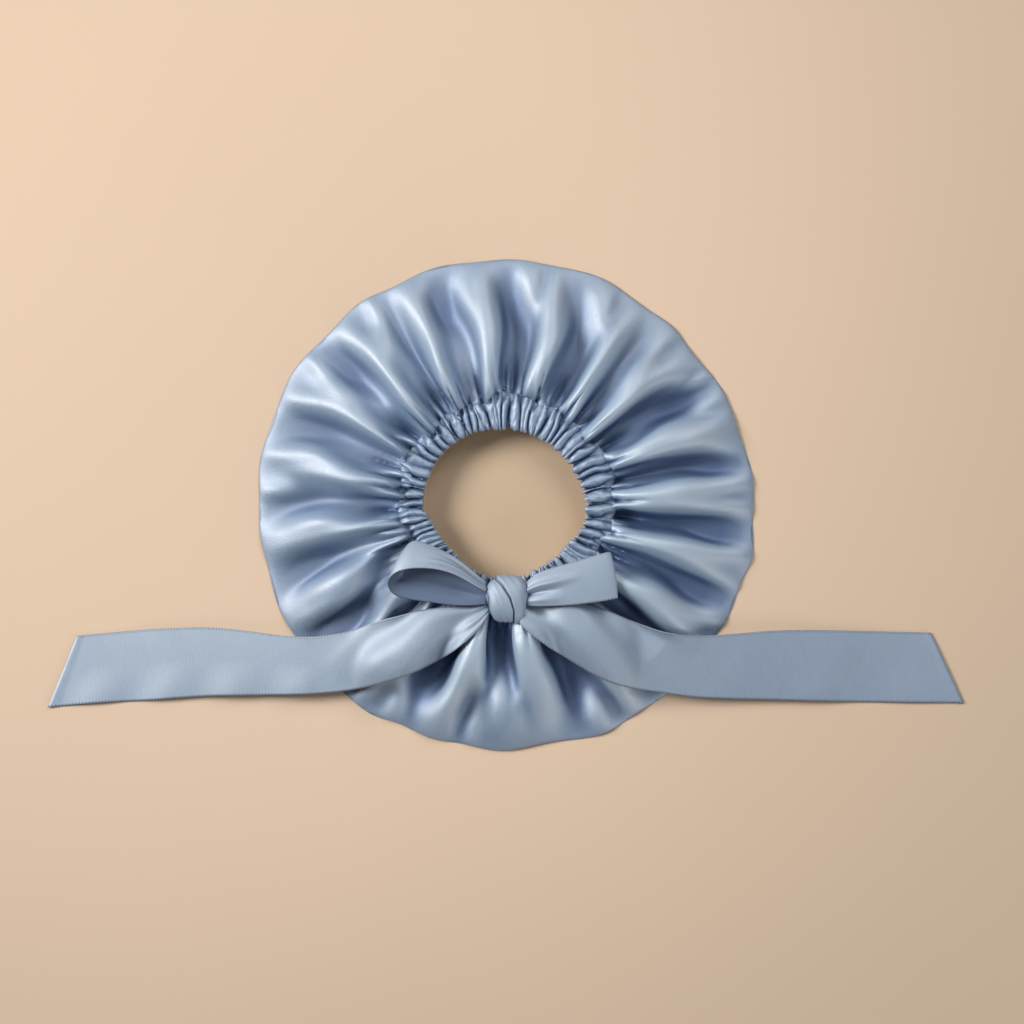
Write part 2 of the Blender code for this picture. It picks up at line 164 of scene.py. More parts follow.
def bell(distance, reach):
    """exp(-(distance / reach)^2): 1 at 0, and fading on both sides."""
    return np.exp(-((distance / reach) ** 2))


def running(steps):
    """How far along each point is, from the steps between the points."""
    return np.concatenate([[0], np.cumsum(steps)])


def ring_degrees(columns):
    """The angle of each column of a ring, counter-clockwise from +X."""
    return np.arange(columns) * 360 / columns


def out_mm(points):
    """How far points are from the middle, seen from above."""
    return np.hypot(points[..., 0], points[..., 1])


def flat_grid(across, along):
    """A row of places across and a column along, spread into a grid of pairs."""
    return np.stack(np.broadcast_arrays(across, along), axis=2)


# %% Grids into cloth
def normals_of(points, around):
    """Unit normals of a grid: the cross product of the steps along and across it. around says
    that each row closes on itself."""
    if around:
        across = (np.roll(points, -1, axis=1) - np.roll(points, 1, axis=1)) / 2
    else:
        across = np.gradient(points, axis=1)
    normal = np.cross(np.gradient(points, axis=0), across)
    return normal / np.maximum(np.linalg.norm(normal, axis=2, keepdims=True), 1e-12)


def grid_faces(rows, columns, around, start=0, flip=False):
    """The quads of a grid of vertices numbered row by row from start."""
    row = np.arange(rows - 1)[:, None] * columns
    here = np.arange(columns if around else columns - 1)[None, :]
    after = (here + 1) % columns
    corners = [row + here, row + after, row + columns + after, row + columns + here]
    quads = np.stack(corners, axis=2).reshape(-1, 4)
    return (quads[:, ::-1] if flip else quads) + start


def mesh_object(name, points, quads, cloth_map, material, fans=(), painted_shading=None):
    """A mesh object from flat arrays: points, four corners for each face, and a map point for
    each vertex. fans holds arrays of triangles, where a ring closes to a point. The last
    argument is each vertex's painted shading: a painted shade up to 1 deep in a fold, and a
    painted highlight down to -1 on a sharp crest."""
    triangles = np.concatenate([np.zeros((0, 3), int), *fans])
    corners = np.concatenate([quads.ravel(), triangles.ravel()]).astype(np.int32)
    starts = [np.arange(len(quads)) * 4, quads.size + np.arange(len(triangles)) * 3]
    mesh = bpy.data.meshes.new(name)
    mesh.vertices.add(len(points))
    mesh.vertices.foreach_set("co", points.astype(np.float32).ravel())
    mesh.loops.add(len(corners))
    mesh.loops.foreach_set("vertex_index", corners)
    mesh.polygons.add(len(quads) + len(triangles))
    mesh.polygons.foreach_set("loop_start", np.concatenate(starts).astype(np.int32))
    mesh.update(calc_edges=True)
    layer = mesh.uv_layers.new(name="cloth")
    layer.data.foreach_set("uv", cloth_map[corners].astype(np.float32).ravel())
    # The painted shade and highlight values, kept on the points for the satin material.
    depth = mesh.attributes.new("painted_shading", "FLOAT", "POINT")
    depth.data.foreach_set("value", np.zeros(len(points)) if painted_shading is None else painted_shading)
    mesh.materials.append(material)
    mesh.shade_smooth()
    mesh.validate()
    return placed(name, mesh)


def fan(ring, centre, flip):
    """Triangles from a ring of vertices to the one in its middle."""
    triangles = np.stack([ring, np.roll(ring, -1), np.full(len(ring), centre)], axis=1)
    return triangles[:, ::-1] if flip else triangles


def edge_strip(near, far, around, flip):
    """Quads that join a line of vertices to the line behind it."""
    ends = (np.roll(near, -1), np.roll(far, -1)) if around else (near[1:], far[1:])
    starts = (near, far) if around else (near[:-1], far[:-1])
    quads = np.stack([*starts, *ends[::-1]], axis=1)
    return quads[:, ::-1] if flip else quads


def cloth_wall(
    name, points, cloth_map, wall, material, around=False, out=1, behind=None, kept=None,
    pole=False, painted_shading=None, inside=0.0
):
    """A closed wall of cloth. points is the grid of the outer skin and cloth_map its map in
    metres. out is 1 or -1, whichever turns the grid's normals outwards. behind is the inner
    skin, or None for the outer skin moved back along its normals by wall. kept lists the rows
    that the inner skin has, from the first to the last, where it has fewer. pole says that both
    skins go on over the last row to a point in its middle. The last but one argument is the
    outer skin's painted shade and highlight, and inside the inner skin's painted shade."""
    rows, columns = points.shape[:2]
    kept = np.arange(rows) if kept is None else kept
    if behind is None:
        behind = (points - normals_of(points, around) * out * wall)[kept]
    shift = rows * columns
    first, last = np.arange(columns), np.arange(columns) + (rows - 1) * columns
    last_behind = first + shift + (len(kept) - 1) * columns
    faces = [
        grid_faces(rows, columns, around, 0, flip=out > 0),
        grid_faces(len(kept), columns, around, shift, flip=out < 0),
        edge_strip(first, first + shift, around, out > 0),
    ]
    if not pole:
        faces.append(edge_strip(last, last_behind, around, out < 0))
    if not around:
        left = np.arange(rows) * columns
        right = left + columns - 1
        faces.append(edge_strip(left, left + shift, False, out < 0))
        faces.append(edge_strip(right, right + shift, False, out > 0))
    everything = np.concatenate([points.reshape(-1, 3), behind.reshape(-1, 3)])
    flat_map = np.concatenate([cloth_map.reshape(-1, 2), cloth_map[kept].reshape(-1, 2)])
    fans = []
    if pole:
        count = len(everything)
        fans = [fan(last, count, out > 0), fan(last_behind, count + 1, out < 0)]
        middles = [points[-1].mean(axis=0), behind[-1].mean(axis=0)]
        everything = np.concatenate([everything, middles])
        flat_map = np.concatenate([flat_map, [cloth_map[-1].mean(axis=0)] * 2])
    # Painted shade and highlight for each vertex: the inner skin's from inside, the outer skin's as
    # given.
    depth = np.full(len(everything), inside)
    depth[:shift] = 0 if painted_shading is None else painted_shading.ravel()
    return mesh_object(name, everything, np.concatenate(faces), flat_map, material, fans, depth)


# %% [markdown]
# ## Satin
#
# Satin shines because its threads float over many others before they dive under. The floats lie
# side by side, so the shine is broad and soft, and very fine lines run through it. The weave is
# a node group, used by the crown, the ribbon and the lining with their own values: streaks of
# noise, long one way and narrow the other, read from the piece's own map.

# %% Nodes
def add_node(tree, kind, inputs, **settings):
    """A shader node. Its settings are made first, because they decide which inputs it has."""
    node = tree.nodes.new("ShaderNode" + kind)
    for label, value in settings.items():
        setattr(node, label, value)
    fill(tree, node, inputs)
    return node


def fill(tree, node, inputs):
    """Fills a node's inputs, by name or number: the output of another node is linked, and
    anything else is the input's own value."""
    for label, value in inputs.items():
        if isinstance(value, bpy.types.NodeSocket):
            tree.links.new(value, node.inputs[label])
        else:
            node.inputs[label].default_value = value


def math_node(tree, operation, *values, clamp=False):
    node = add_node(tree, "Math", dict(enumerate(values)), operation=operation, use_clamp=clamp)
    return node.outputs[0]


def mix_node(tree, factor, first, second):
    """A colour between two others."""
    inputs = {"Factor": factor, 6: first, 7: second}
    return add_node(tree, "Mix", inputs, data_type="RGBA").outputs[2]


def noise_node(tree, vector, scale, detail):
    inputs = {"Vector": vector, "Scale": scale, "Detail": detail, "Roughness": 0.5}
    return add_node(tree, "TexNoise", inputs).outputs["Fac"]


def new_group(name, inputs, outputs):
    """A node group with these inputs, a name, kind and value each, and outputs, a name and kind.
    Gives the group, the outputs of its input node, and its output node."""
    group = bpy.data.node_groups.new(name, "ShaderNodeTree")
    for label, kind, value in inputs:
        socket = group.interface.new_socket(label, in_out="INPUT", socket_type="NodeSocket" + kind)
        if value is not None:
            socket.default_value = value
    for label, kind in outputs:
        group.interface.new_socket(label, in_out="OUTPUT", socket_type="NodeSocket" + kind)
    return group, group.nodes.new("NodeGroupInput").outputs, group.nodes.new("NodeGroupOutput")


# %% Weave, tone and woven edge
FINE_SHARE, COARSE_SCALE = 0.7, 0.23
SHADE_FROM, SHADE_GAIN = 0.35, 3.0
TONE_SCALE, TONE_SHARE = 9.0, 0.5
SELVEDGE = 0.0016


def make_weave():
    """Floats: noise stretched along the thread. Height is its relief, and Shade a mask from 0 to
    1 that lightens the raised threads."""
    group, given, result = new_group(
        "satin_weave",
        [("Vector", "Vector", None), ("Stretch", "Vector", (1, 1, 1))],
        [("Height", "Float"), ("Shade", "Float")],
    )
    stretched = {0: given["Vector"], 1: given["Stretch"]}
    place = add_node(group, "VectorMath", stretched, operation="MULTIPLY").outputs[0]
    fine, coarse = noise_node(group, place, 1.0, 2), noise_node(group, place, COARSE_SCALE, 2)
    fine = math_node(group, "MULTIPLY", fine, FINE_SHARE)
    height = math_node(group, "ADD", fine, math_node(group, "MULTIPLY", coarse, 1 - FINE_SHARE))
    above = math_node(group, "SUBTRACT", height, SHADE_FROM)
    shade = math_node(group, "MULTIPLY", above, SHADE_GAIN, clamp=True)
    fill(group, result, {"Height": height, "Shade": shade})
    return group


def make_tone():
    """Slow changes of tone over the cloth, from a dark and a light colour."""
    group, given, result = new_group(
        "cloth_tone",
        [
            ("Vector", "Vector", None),
            ("Dark", "Color", (0, 0, 0, 1)),
            ("Light", "Color", (1, 1, 1, 1)),
            ("Shade", "Float", 0.5),
        ],
        [("Color", "Color")],
    )
    slow = noise_node(group, given["Vector"], TONE_SCALE, 3)
    slow = math_node(group, "MULTIPLY", slow, TONE_SHARE)
    shade = math_node(group, "MULTIPLY", given["Shade"], 1 - TONE_SHARE)
    both = math_node(group, "ADD", slow, shade)
    fill(group, result, {"Color": mix_node(group, both, given["Dark"], given["Light"])})
    return group


def make_selvedge():
    """A woven edge along both sides of a ribbon: Mask is 1 in the bead of each picot, and 0 over
    the rest of the cloth. Across and Along are the ribbon's map, Width its width, and Pitch the
    distance between picots, all in metres."""
    group, given, result = new_group(
        "selvedge",
        [
            ("Across", "Float", 0.0),
            ("Along", "Float", 0.0),
            ("Width", "Float", 0.05),
            ("Pitch", "Float", 0.002),
        ],
        [("Mask", "Float")],
    )
    half = math_node(group, "MULTIPLY", given["Width"], 0.5)
    off = math_node(group, "ABSOLUTE", math_node(group, "SUBTRACT", given["Across"], half))
    edge = math_node(group, "GREATER_THAN", off, math_node(group, "SUBTRACT", half, SELVEDGE))
    turns = math_node(group, "DIVIDE", given["Along"], given["Pitch"])
    wave = math_node(group, "SINE", math_node(group, "MULTIPLY", turns, 2 * math.pi))
    bead = math_node(group, "MULTIPLY_ADD", wave, 0.5, 0.5)
    fill(group, result, {"Mask": math_node(group, "MULTIPLY", edge, bead)})
    return group


WEAVE, TONE, EDGE = make_weave(), make_tone(), make_selvedge()
print("groups:", WEAVE.name, TONE.name, EDGE.name)


# %% Satin materials
# In each finish, deep is the painted shade colour used deep in the folds, and crest the painted
# highlight colour used on crests.
CROWN_FINISH, RIBBON_FINISH, LINING_FINISH = table(
    "dark light deep crest roughness metallic ior specular bump stretch",
    (
        (0.106, 0.192, 0.330, 1), (0.180, 0.290, 0.446, 1), (0.046, 0.102, 0.240, 1),
        (0.262, 0.376, 0.512, 1), 0.62, 0.12, 2.2, 1.0, 0.60, (760, 380, 1),
    ),
    (
        (0.138, 0.224, 0.344, 1), (0.212, 0.316, 0.452, 1), (0.050, 0.100, 0.210, 1),
        (0.290, 0.390, 0.500, 1), 0.66, 0.12, 2.2, 1.0, 0.60, (380, 760, 1),
    ),
    (
        (0.520, 0.392, 0.270, 1), (0.574, 0.438, 0.308, 1), (0.3, 0.2, 0.12, 1),
        (0.6, 0.45, 0.32, 1), 0.75, 0.0, 1.5, 0.3, 0.10, (2600, 2600, 1),
    ),
)
PICOT_SHADE = (0.03, 0.06, 0.12, 1)
ROUGHNESS_SWING = 0.08
# How far the metallic rises with the painted shade, so that the folds' reflections are darkened
# too, as painted shade.
FOLD_SHADE_METALLIC = 0.6
WEAVE_RELIEF = 0.0003


def satin(name, finish, picots=False):
    """A Principled material on the piece's own map, with the weave as bump and tone. The mesh's
    shading value paints shade and highlight: the colour and the metal tint are darkened in the
    folds, a painted shade, and the crests are paler, a painted highlight. picots adds a ribbon's
    woven edge."""
    material = bpy.data.materials.new(name)
    material.use_nodes = True
    tree = material.node_tree
    cloth = add_node(tree, "UVMap", {}, uv_map="cloth").outputs["UV"]
    weave = add_node(tree, "Group", {"Stretch": finish.stretch, "Vector": cloth}, node_tree=WEAVE)
    height, shade = weave.outputs["Height"], weave.outputs["Shade"]
    tones = {"Dark": finish.dark, "Light": finish.light, "Vector": cloth, "Shade": shade}
    colour = add_node(tree, "Group", tones, node_tree=TONE).outputs["Color"]
    # Painted shade and highlight from the mesh's attribute: the colour goes towards deep in the
    # folds, and towards crest where the value is below 0.
    painted_shading = add_node(tree, "Attribute", {}, attribute_name="painted_shading").outputs["Fac"]
    colour = mix_node(tree, painted_shading, colour, finish.deep)
    crest = math_node(tree, "MULTIPLY", painted_shading, -1.0, clamp=True)
    colour = mix_node(tree, crest, colour, finish.crest)
    if picots:
        place = add_node(tree, "SeparateXYZ", {0: cloth}).outputs
        edge = add_node(tree, "Group", {"Across": place[0], "Along": place[1]}, node_tree=EDGE)
        colour = mix_node(tree, edge.outputs["Mask"], colour, PICOT_SHADE)
    least = finish.roughness - ROUGHNESS_SWING / 2
    tint = math_node(tree, "MULTIPLY_ADD", painted_shading, FOLD_SHADE_METALLIC, finish.metallic, clamp=True)
    bump = {"Strength": finish.bump, "Distance": WEAVE_RELIEF, "Height": height}
    surface = {
        "IOR": finish.ior,
        "Specular IOR Level": finish.specular,
        "Base Color": colour,
        "Roughness": math_node(tree, "MULTIPLY_ADD", shade, ROUGHNESS_SWING, least),
        "Metallic": tint,
        "Normal": add_node(tree, "Bump", bump).outputs["Normal"],
    }
    fill(tree, tree.nodes["Principled BSDF"], surface)
    return material


CROWN_SATIN = satin("crown_satin", CROWN_FINISH)
RIBBON_SATIN = satin("ribbon_satin", RIBBON_FINISH, picots=True)
LINING_CLOTH = satin("lining_satin", LINING_FINISH)

# %% The table top
TABLE_TONES = ((0.650, 0.494, 0.366, 1), (0.685, 0.530, 0.396, 1))
TABLE_HALF, TABLE_CELLS = 4, 9
# A painted pool of light on the table: its brightest place, and how the colour falls off with
# distance from it.
PAINTED_LIGHT_CENTRE = (-0.16, 0.12, 0)
PAINTED_FALLOFF = {"From Min": 0.2, "From Max": 0.72, "To Min": 1.0, "To Max": 0.80}


def make_floor():
    """A plain warm sheet with a very faint, slow change of tone, and a painted pool of light:
    brightest up and to the left, a little darker far out.
    """
    material = bpy.data.materials.new("warm_paper")
    material.use_nodes = True
    tree = material.node_tree
    place = add_node(tree, "TexCoord", {}).outputs["Object"]
    colour = mix_node(tree, noise_node(tree, place, 2.5, 4), *TABLE_TONES)
    away = add_node(tree, "VectorMath", {0: place, 1: PAINTED_LIGHT_CENTRE}, operation="DISTANCE")
    ramp = {"Value": away.outputs["Value"], **PAINTED_FALLOFF}
    light_falloff = add_node(tree, "MapRange", ramp, interpolation_type="SMOOTHSTEP").outputs["Result"]
    colour = add_node(tree, "VectorMath", {0: colour, "Scale": light_falloff}, operation="SCALE").outputs[0]
    surface = {"Roughness": 0.85, "Specular IOR Level": 0.15, "Base Color": colour}
    fill(tree, tree.nodes["Principled BSDF"], surface)
    line = np.linspace(-TABLE_HALF, TABLE_HALF, TABLE_CELLS)
    grid = np.stack(np.meshgrid(line, line), axis=2).reshape(-1, 2)
    points = np.concatenate([grid, np.zeros((len(grid), 1))], axis=1)
    faces = grid_faces(TABLE_CELLS, TABLE_CELLS, False)
    mesh_object("table_top", points, faces, grid, material)


make_floor()

# %% [markdown]
# ## The folds of the crown
#
# Gathering squeezes a wide edge of cloth into a short elastic. The spare cloth has to go
# somewhere, so it stands up in ridges with narrow valleys between them, deep at the seam and
# dying away at the rim. The chart below gives every valley of this bonnet: where its shaded
# part begins and ends at four distances from the middle, and how deep it is there. One function
# then carves them all out of a smooth puffed ring.

# %% The chart of valleys
# The angles run counter-clockwise from +X, in degrees. They hold at CHART_RADII_MM from the
# middle. A depth of 1 is a full fold.
CHART_RADII_MM = (85, 106, 135, 160)
VALLEYS = table(
    "seam_from seam_to inner_from inner_to outer_from outer_to rim_from rim_to "
    "deep_seam deep_inner deep_outer deep_rim",
    (0, 4, 0, 2, 0.3, 0.8, 0.3, 0.8, 0.8, 0.6, 0, 0),
    (8.5, 9.5, 5.4, 6.3, 1.5, 5, 2, 4.2, 0, 0.5, 0.9, 0.35),
    (10, 14.3, 9, 15, 9, 15, 8, 13.5, 1.1, 1, 0.85, 0.6),
    (28.4, 28.6, 26.4, 27.2, 24, 27, 24.5, 26, 0, 0.4, 0.85, 0.2),
    (28.9, 32, 29, 31, 30.5, 33, 30, 32.5, 1, 0.55, 0.45, 0.45),
    (34.8, 38, 35, 38.5, 33.5, 37.8, 33.5, 35.5, 1, 0.95, 0.65, 0.3),
    (46.5, 47.2, 45.2, 46.5, 42.8, 45.3, 42.5, 44.5, 0, 0.4, 0.5, 0.2),
    (49.8, 51.2, 46.8, 52, 49, 52.5, 50.5, 55, 1.1, 1, 0.35, 0.2),
    (57.5, 61, 57.5, 60.5, 58, 60, 58, 60, 0.45, 0.05, 0, 0),
    (64.6, 66, 62.8, 66, 61.5, 63.8, 60.5, 62.3, 1.1, 0.9, 0.5, 0.25),
    (66.2, 66.6, 66, 69.5, 67, 73, 72, 77, 0.2, 0.8, 0.75, 0.4),
    (72, 76.3, 72, 75, 75, 76, 78, 79, 0.9, 0.15, 0, 0),
    (80.6, 84, 79.2, 84, 79.7, 83, 79.5, 81.5, 1, 1, 0.9, 0.3),
    (87.6, 94.5, 87.6, 94.8, 86, 94.3, 88.5, 94.5, 1, 1, 0.8, 0.45),
    (101, 106.5, 101.5, 105.5, 104.5, 105.5, 102.5, 103, 0.5, 0.3, 0, 0),
    (107.6, 108, 106.4, 107.6, 99.5, 103.3, 98.5, 101, 0, 0.5, 0.75, 0.15),
    (109, 111, 107.9, 111.3, 107.3, 112, 103, 112.5, 1.1, 1.05, 0.9, 0.7),
    (115.5, 118.5, 115, 117, 115, 116, 115, 116, 0.5, 0.1, 0, 0),
    (121.8, 124.7, 120.3, 124.5, 120, 123.8, 120.3, 123, 1, 0.75, 0.85, 0.45),
    (127, 129, 127.7, 130.2, 128.5, 131, 125.4, 130.8, 1, 1, 0.75, 0.65),
    (135, 138, 135.3, 137.5, 135.7, 142, 138.2, 142, 1, 0.5, 1, 0.75),
    (141.5, 145, 144.3, 146.3, 146, 150.5, 145, 151, 1, 0.9, 0.6, 0.6),
    (148, 150.5, 148.5, 150, 152, 153, 153, 154, 0.6, 0.2, 0, 0),
    (159.3, 162, 154.8, 158.3, 153.8, 159.7, 157, 165.5, 1, 1, 0.95, 0.85),
    (163, 164, 161.5, 163.3, 164, 169.7, 170, 175, 0.3, 0.7, 0.85, 0.5),
    (165, 168, 164.6, 168.5, 171.5, 172.5, 176, 176.6, 0.6, 0.6, 0, 0),
    (171, 172.6, 171, 172.5, 173, 173.5, 177, 177.4, 0.8, 0.2, 0, 0),
    (175.7, 178, 175.7, 180.5, 174.2, 180.5, 178.3, 183, 1.1, 1, 0.95, 0.75),
    (181.5, 183, 184, 188.7, 184.7, 188.8, 186, 188.5, 0.6, 0.75, 0.45, 0.1),
    (190.5, 193.3, 192, 200, 193, 201.3, 193, 203, 1.1, 1.05, 1, 0.85),
    (195.5, 195.9, 201, 202, 205, 207.2, 205.5, 207, 0, 0.35, 0.8, 0.15),
    (197, 203.5, 204, 217.5, 209.5, 219, 211.5, 221, 1.2, 1.2, 1.2, 1),
    (209, 214, 221.8, 226.5, 223.5, 230, 226, 231.5, 1, 1, 0.9, 0.65),
    (219, 225, 229.5, 234, 232.5, 236, 233.6, 238.2, 1, 0.9, 0.7, 0.65),
    (232, 238, 238.5, 243, 240.3, 243.5, 243.5, 246.5, 1, 1, 0.9, 0.3),
    (247.5, 252, 247.5, 254, 246.5, 250, 247, 249, 1.1, 1.15, 0.6, 0.1),
    (254.6, 255.2, 255.3, 257, 255.5, 258, 256.5, 259, 0, 0.3, 0.75, 0.45),
    (256.5, 267, 258, 267, 260, 266, 261, 266, 1, 1, 0.1, 0.25),
    (270.5, 274.5, 270, 273, 268.5, 271, 267, 269, 1.1, 0.9, 0.3, 0.1),
    (276, 283, 276, 284, 278, 282, 278, 282, 1, 1, 0.05, 0),
    (285.5, 289.5, 287.5, 292.5, 286.5, 294, 281, 290, 0.9, 0.9, 0.8, 0.4),
    (295.5, 297, 296, 298.5, 296.2, 298.2, 296, 298.5, 0.8, 0.8, 0.75, 0.5),
    (303, 307, 304, 309, 305, 310, 304, 310, 1, 0.9, 0.8, 0.6),
    (311.5, 318, 313, 324, 314.5, 320.7, 317, 323, 1.2, 1.2, 1, 0.6),
    (334, 335, 330.3, 332.3, 326.8, 330.3, 325.5, 329, 0.5, 0.8, 0.65, 0.4),
    (336, 340.5, 333, 337.8, 334, 339.3, 334, 338.7, 1, 1, 1, 0.8),
    (342, 347, 345, 347.2, 343, 346.2, 342.7, 346, 1, 0.5, 0.55, 0.4),
    (352.5, 355, 350.3, 357.5, 349.3, 357.3, 350, 356.8, 1.1, 1, 1, 0.75),
)
print(len(VALLEYS), "valleys")

# %% The crown's profile and its outlines
# The crest line of the puff, from the seam out over the rim and under it, and how deep a full
# fold cuts there. spread is how much of the rim's outline a ring takes on.
CRESTS = table(
    "radius_mm height_mm deep_mm spread",
    (78.4, 20.6, 4.5, 0),
    (79.6, 22.8, 7, 0.01),
    (82.5, 25.2, 9.5, 0.04),
    (88, 27, 11.5, 0.09),
    (97, 27.6, 12, 0.17),
    (108, 26.4, 11.5, 0.28),
    (120, 24, 10.5, 0.4),
    (132, 20.6, 9, 0.54),
    (144, 16.9, 8.6, 0.68),
    (154, 13.2, 8.4, 0.8),
    (162, 10, 6.8, 0.89),
    (168.5, 6.6, 4.6, 0.96),
    (173, 3.6, 2, 1),
    (174.8, 1.6, 0.4, 1),
    (173.4, 0.4, 0, 1),
    (168, 0, 0, 1),
)
RIM_MM = 173.8
RIM_OUTLINE = table(
    "degrees radius_mm",
    (6, 175.3), (17, 172.2), (27, 173.2), (39, 169.9), (47, 172.3), (55, 170.6), (68, 173.9),
    (79, 172.2), (88, 173.5), (96, 172.8), (107, 174.9), (117, 173.4), (126, 176.3),
    (136, 174.2), (148, 177.4), (160, 175), (170, 176.4), (179, 174.3), (186, 175),
    (194, 173.8), (206, 176.2), (221, 173.4), (236, 176), (245, 171.8), (252, 173),
    (259, 171.4), (268, 173.6), (280, 170.4), (294, 175.6), (302, 173.6), (312, 175.2),
    (323, 172.8), (333, 175.6), (341, 174.6), (348, 177.8), (357, 174.4),
)
MOUTH_OUTLINE = table(
    "degrees radius_mm",
    (0, 55), (25, 52.4), (55, 51.4), (90, 52.6), (120, 55.4), (150, 57), (178, 57.3),
    (200, 51.4), (222, 48.6), (250, 50.6), (275, 50.4), (300, 49.2), (325, 50.4), (348, 55.4),
)


def outline_mm(outline, degrees):
    """An outline's distance from the middle at these angles: smooth steps between the charted
    points, so that it swells and pulls in smoothly."""
    angles, radii = np.transpose(outline)
    angles = np.concatenate([angles[-1:] - 360, angles, angles[:1] + 360])
    radii = np.concatenate([radii[-1:], radii, radii[:1]])
    at = np.mod(degrees, 360)
    i = np.clip(np.searchsorted(angles, at, side="right") - 1, 0, len(angles) - 2)
    share = (at - angles[i]) / (angles[i + 1] - angles[i])
    return radii[i] + (radii[i + 1] - radii[i]) * ease(share)


# %% [markdown]
# ## The pleats at the seam
#
# Sewing gathers the edge into many small pleats, far more than there are big folds. So the
# charted valleys that reach the seam are joined by small ones between them. The casing and the
# crown both read this list, and their pleats meet at the stitch line.

# %% The list of pleats
SEAM_MM = 78.2
LEAST_AT_SEAM = 0.45
FLAT_PANELS = ((136.0, 141.0), (162.0, 167.0))
PLEAT_WIDTHS = (
    (0, 8.6), (40, 6.8), (60, 5.2), (120, 5.2), (140, 7.6), (175, 6.2), (205, 4.6), (330, 4.6),
    (345, 7), (360, 8.6),
)
PLEAT_STRAY, SMALL_PLEAT = 0.4, (0.2, 1.0)
SEAM_INSET_MM = 2.5
SEAM_WAVES = table("size turns phase", (2.0, 5, 20), (1.6, 11, 200), (1.2, 23, 90))
dice = np.random.default_rng(7)


def with_ways(angles, depths):
    """Pleats as rows of angle, depth, lean, drift and bow. The last three say how its rib leans
    and how the groove strays between the seam and the mouth, from -1 to 1."""
    ways = dice.uniform(-1, 1, (len(angles), 3))
    return np.concatenate([np.transpose([angles, depths]), ways], axis=1)


def seam_pleats():
    """Pleats at the valleys that reach the seam, with more between them wherever two are further
    apart than the pleats are wide there, except on the flat panels."""
    reaching = [valley for valley in VALLEYS if valley.deep_seam > LEAST_AT_SEAM]
    main = sorted((valley.seam_from + valley.seam_to) / 2 % 360 for valley in reaching)
    angles, depths = [], []
    for start, end in zip(main, [*main[1:], main[0] + 360]):
        middle = (start + end) / 2
        panel = any(low < middle < high for low, high in FLAT_PANELS)
        more = 0 if panel else int((end - start) / look_up(PLEAT_WIDTHS, middle % 360))
        for k in range(more + 1):
            share = (k + (k > 0) * dice.uniform(-PLEAT_STRAY, PLEAT_STRAY)) / (more + 1)
            angles.append(start + (end - start) * share)
            depths.append(dice.uniform(*SMALL_PLEAT) if k else 1.0)
    return with_ways(angles, depths)


def seam_wander(degrees):
    """How far the seam strays from its circle, in mm: three slow waves about SEAM_INSET_MM in."""
    waves = sum(w.size * np.sin(np.radians(w.turns * degrees + w.phase)) for w in SEAM_WAVES)
    return waves - SEAM_INSET_MM


PLEATS = seam_pleats()
print(len(PLEATS), "pleats round the casing")

# %% The ribs between them
RIB_POWER, CROWN_RIB_POWER = 2.0, 1.25
RIB_ROUND, RIB_LEAN, RIB_BOW = 0.6, 1.6, 0.7
FULL_RIB_DEGREES, LEAST_RIB = 5, 0.3
# How dark the grooves between ribs are painted, as shade.
RIB_GROOVE_SHADE, RIB_GROOVE_SHADE_POWER = 1.6, 1.2


def ribs(pleats, degrees, share, wander, power):
    """Ribs between the pleats of a list, at rows of angles: 0 on their backs, down to -1 in the
    grooves. A rib's back is (1 - |x|^power)^RIB_ROUND for x from -1 to 1 across it. Each groove
    strays by up to wander degrees between the seam, share 0, and the mouth, share 1."""
    angles, depths, leans, drifts, bows = pleats.T
    deep = np.concatenate([depths[-1:], depths, depths[:1]])
    lean = np.concatenate([leans[-1:], leans])
    total = np.zeros((len(share), degrees.shape[-1]))
    for row, part in enumerate(share):
        at = np.mod(degrees[row] - angles[0], 360)
        stray = drifts * part**1.5 + RIB_BOW * bows * math.sin(math.pi * part)
        line = np.sort(angles - angles[0] + wander * stray)
        line = np.concatenate([line[-1:] - 360, line, line[:1] + 360])
        i = np.clip(np.searchsorted(line, at, side="right") - 1, 0, len(pleats))
        width = np.maximum(line[i + 1] - line[i], 0.05)
        across = np.clip((at - line[i]) / width, 0, 1) ** (RIB_LEAN ** lean[i])
        back = (1 - np.abs(2 * across - 1) ** power) ** RIB_ROUND
        cut = deep[i] * (1 - across) + deep[i + 1] * across
        total[row] = (back - 1) * cut * np.clip(width / FULL_RIB_DEGREES, LEAST_RIB, 1)
    return total


def rib_groove_painted_shade(cut):
    """The painted shade in the grooves between ribs: how much a point there is darkened."""
    return np.clip(-RIB_GROOVE_SHADE * cut, 0, 1) ** RIB_GROOVE_SHADE_POWER


# %% Carving the folds
LIGHT_TURN = 20
LIT_SHARE = 0.55
ROUND_SHARE, ROUND_SOFT = 0.28, 0.6
SMALL_PLEAT_MM, SMALL_PLEAT_HALF, SMALL_PLEAT_REACH_MM = 2.2, 2.1, 5.0


def turn_between(degrees, centre):
    """The signed angle from centre to degrees, between -180 and 180."""
    return np.mod(degrees - centre + 180, 360) - 180


def valley_shape(turn, left, right, soft):
    """A valley's cross-section: 1 on its floor and 0 at its banks, left and right degrees away.
    soft blends from walls that steepen towards a narrow rounded floor, at 0, to a cosine, at 1."""
    across = np.abs(turn) / np.where(turn < 0, left, right)
    across = np.clip(np.sqrt(across**2 + 0.02) - 0.1414, 0, 1)
    return (1 - soft) * (1 - across) ** 1.7 + soft * (0.5 + 0.5 * np.cos(np.pi * across))


def lit_share(degrees):
    """1 where the counter-clockwise flank of a fold faces the lamp, 0 where the other does, and
    between the two where neither does."""
    return 0.5 + 0.5 * np.clip(2.2 * np.sin(np.radians(degrees + LIGHT_TURN)), -1, 1)


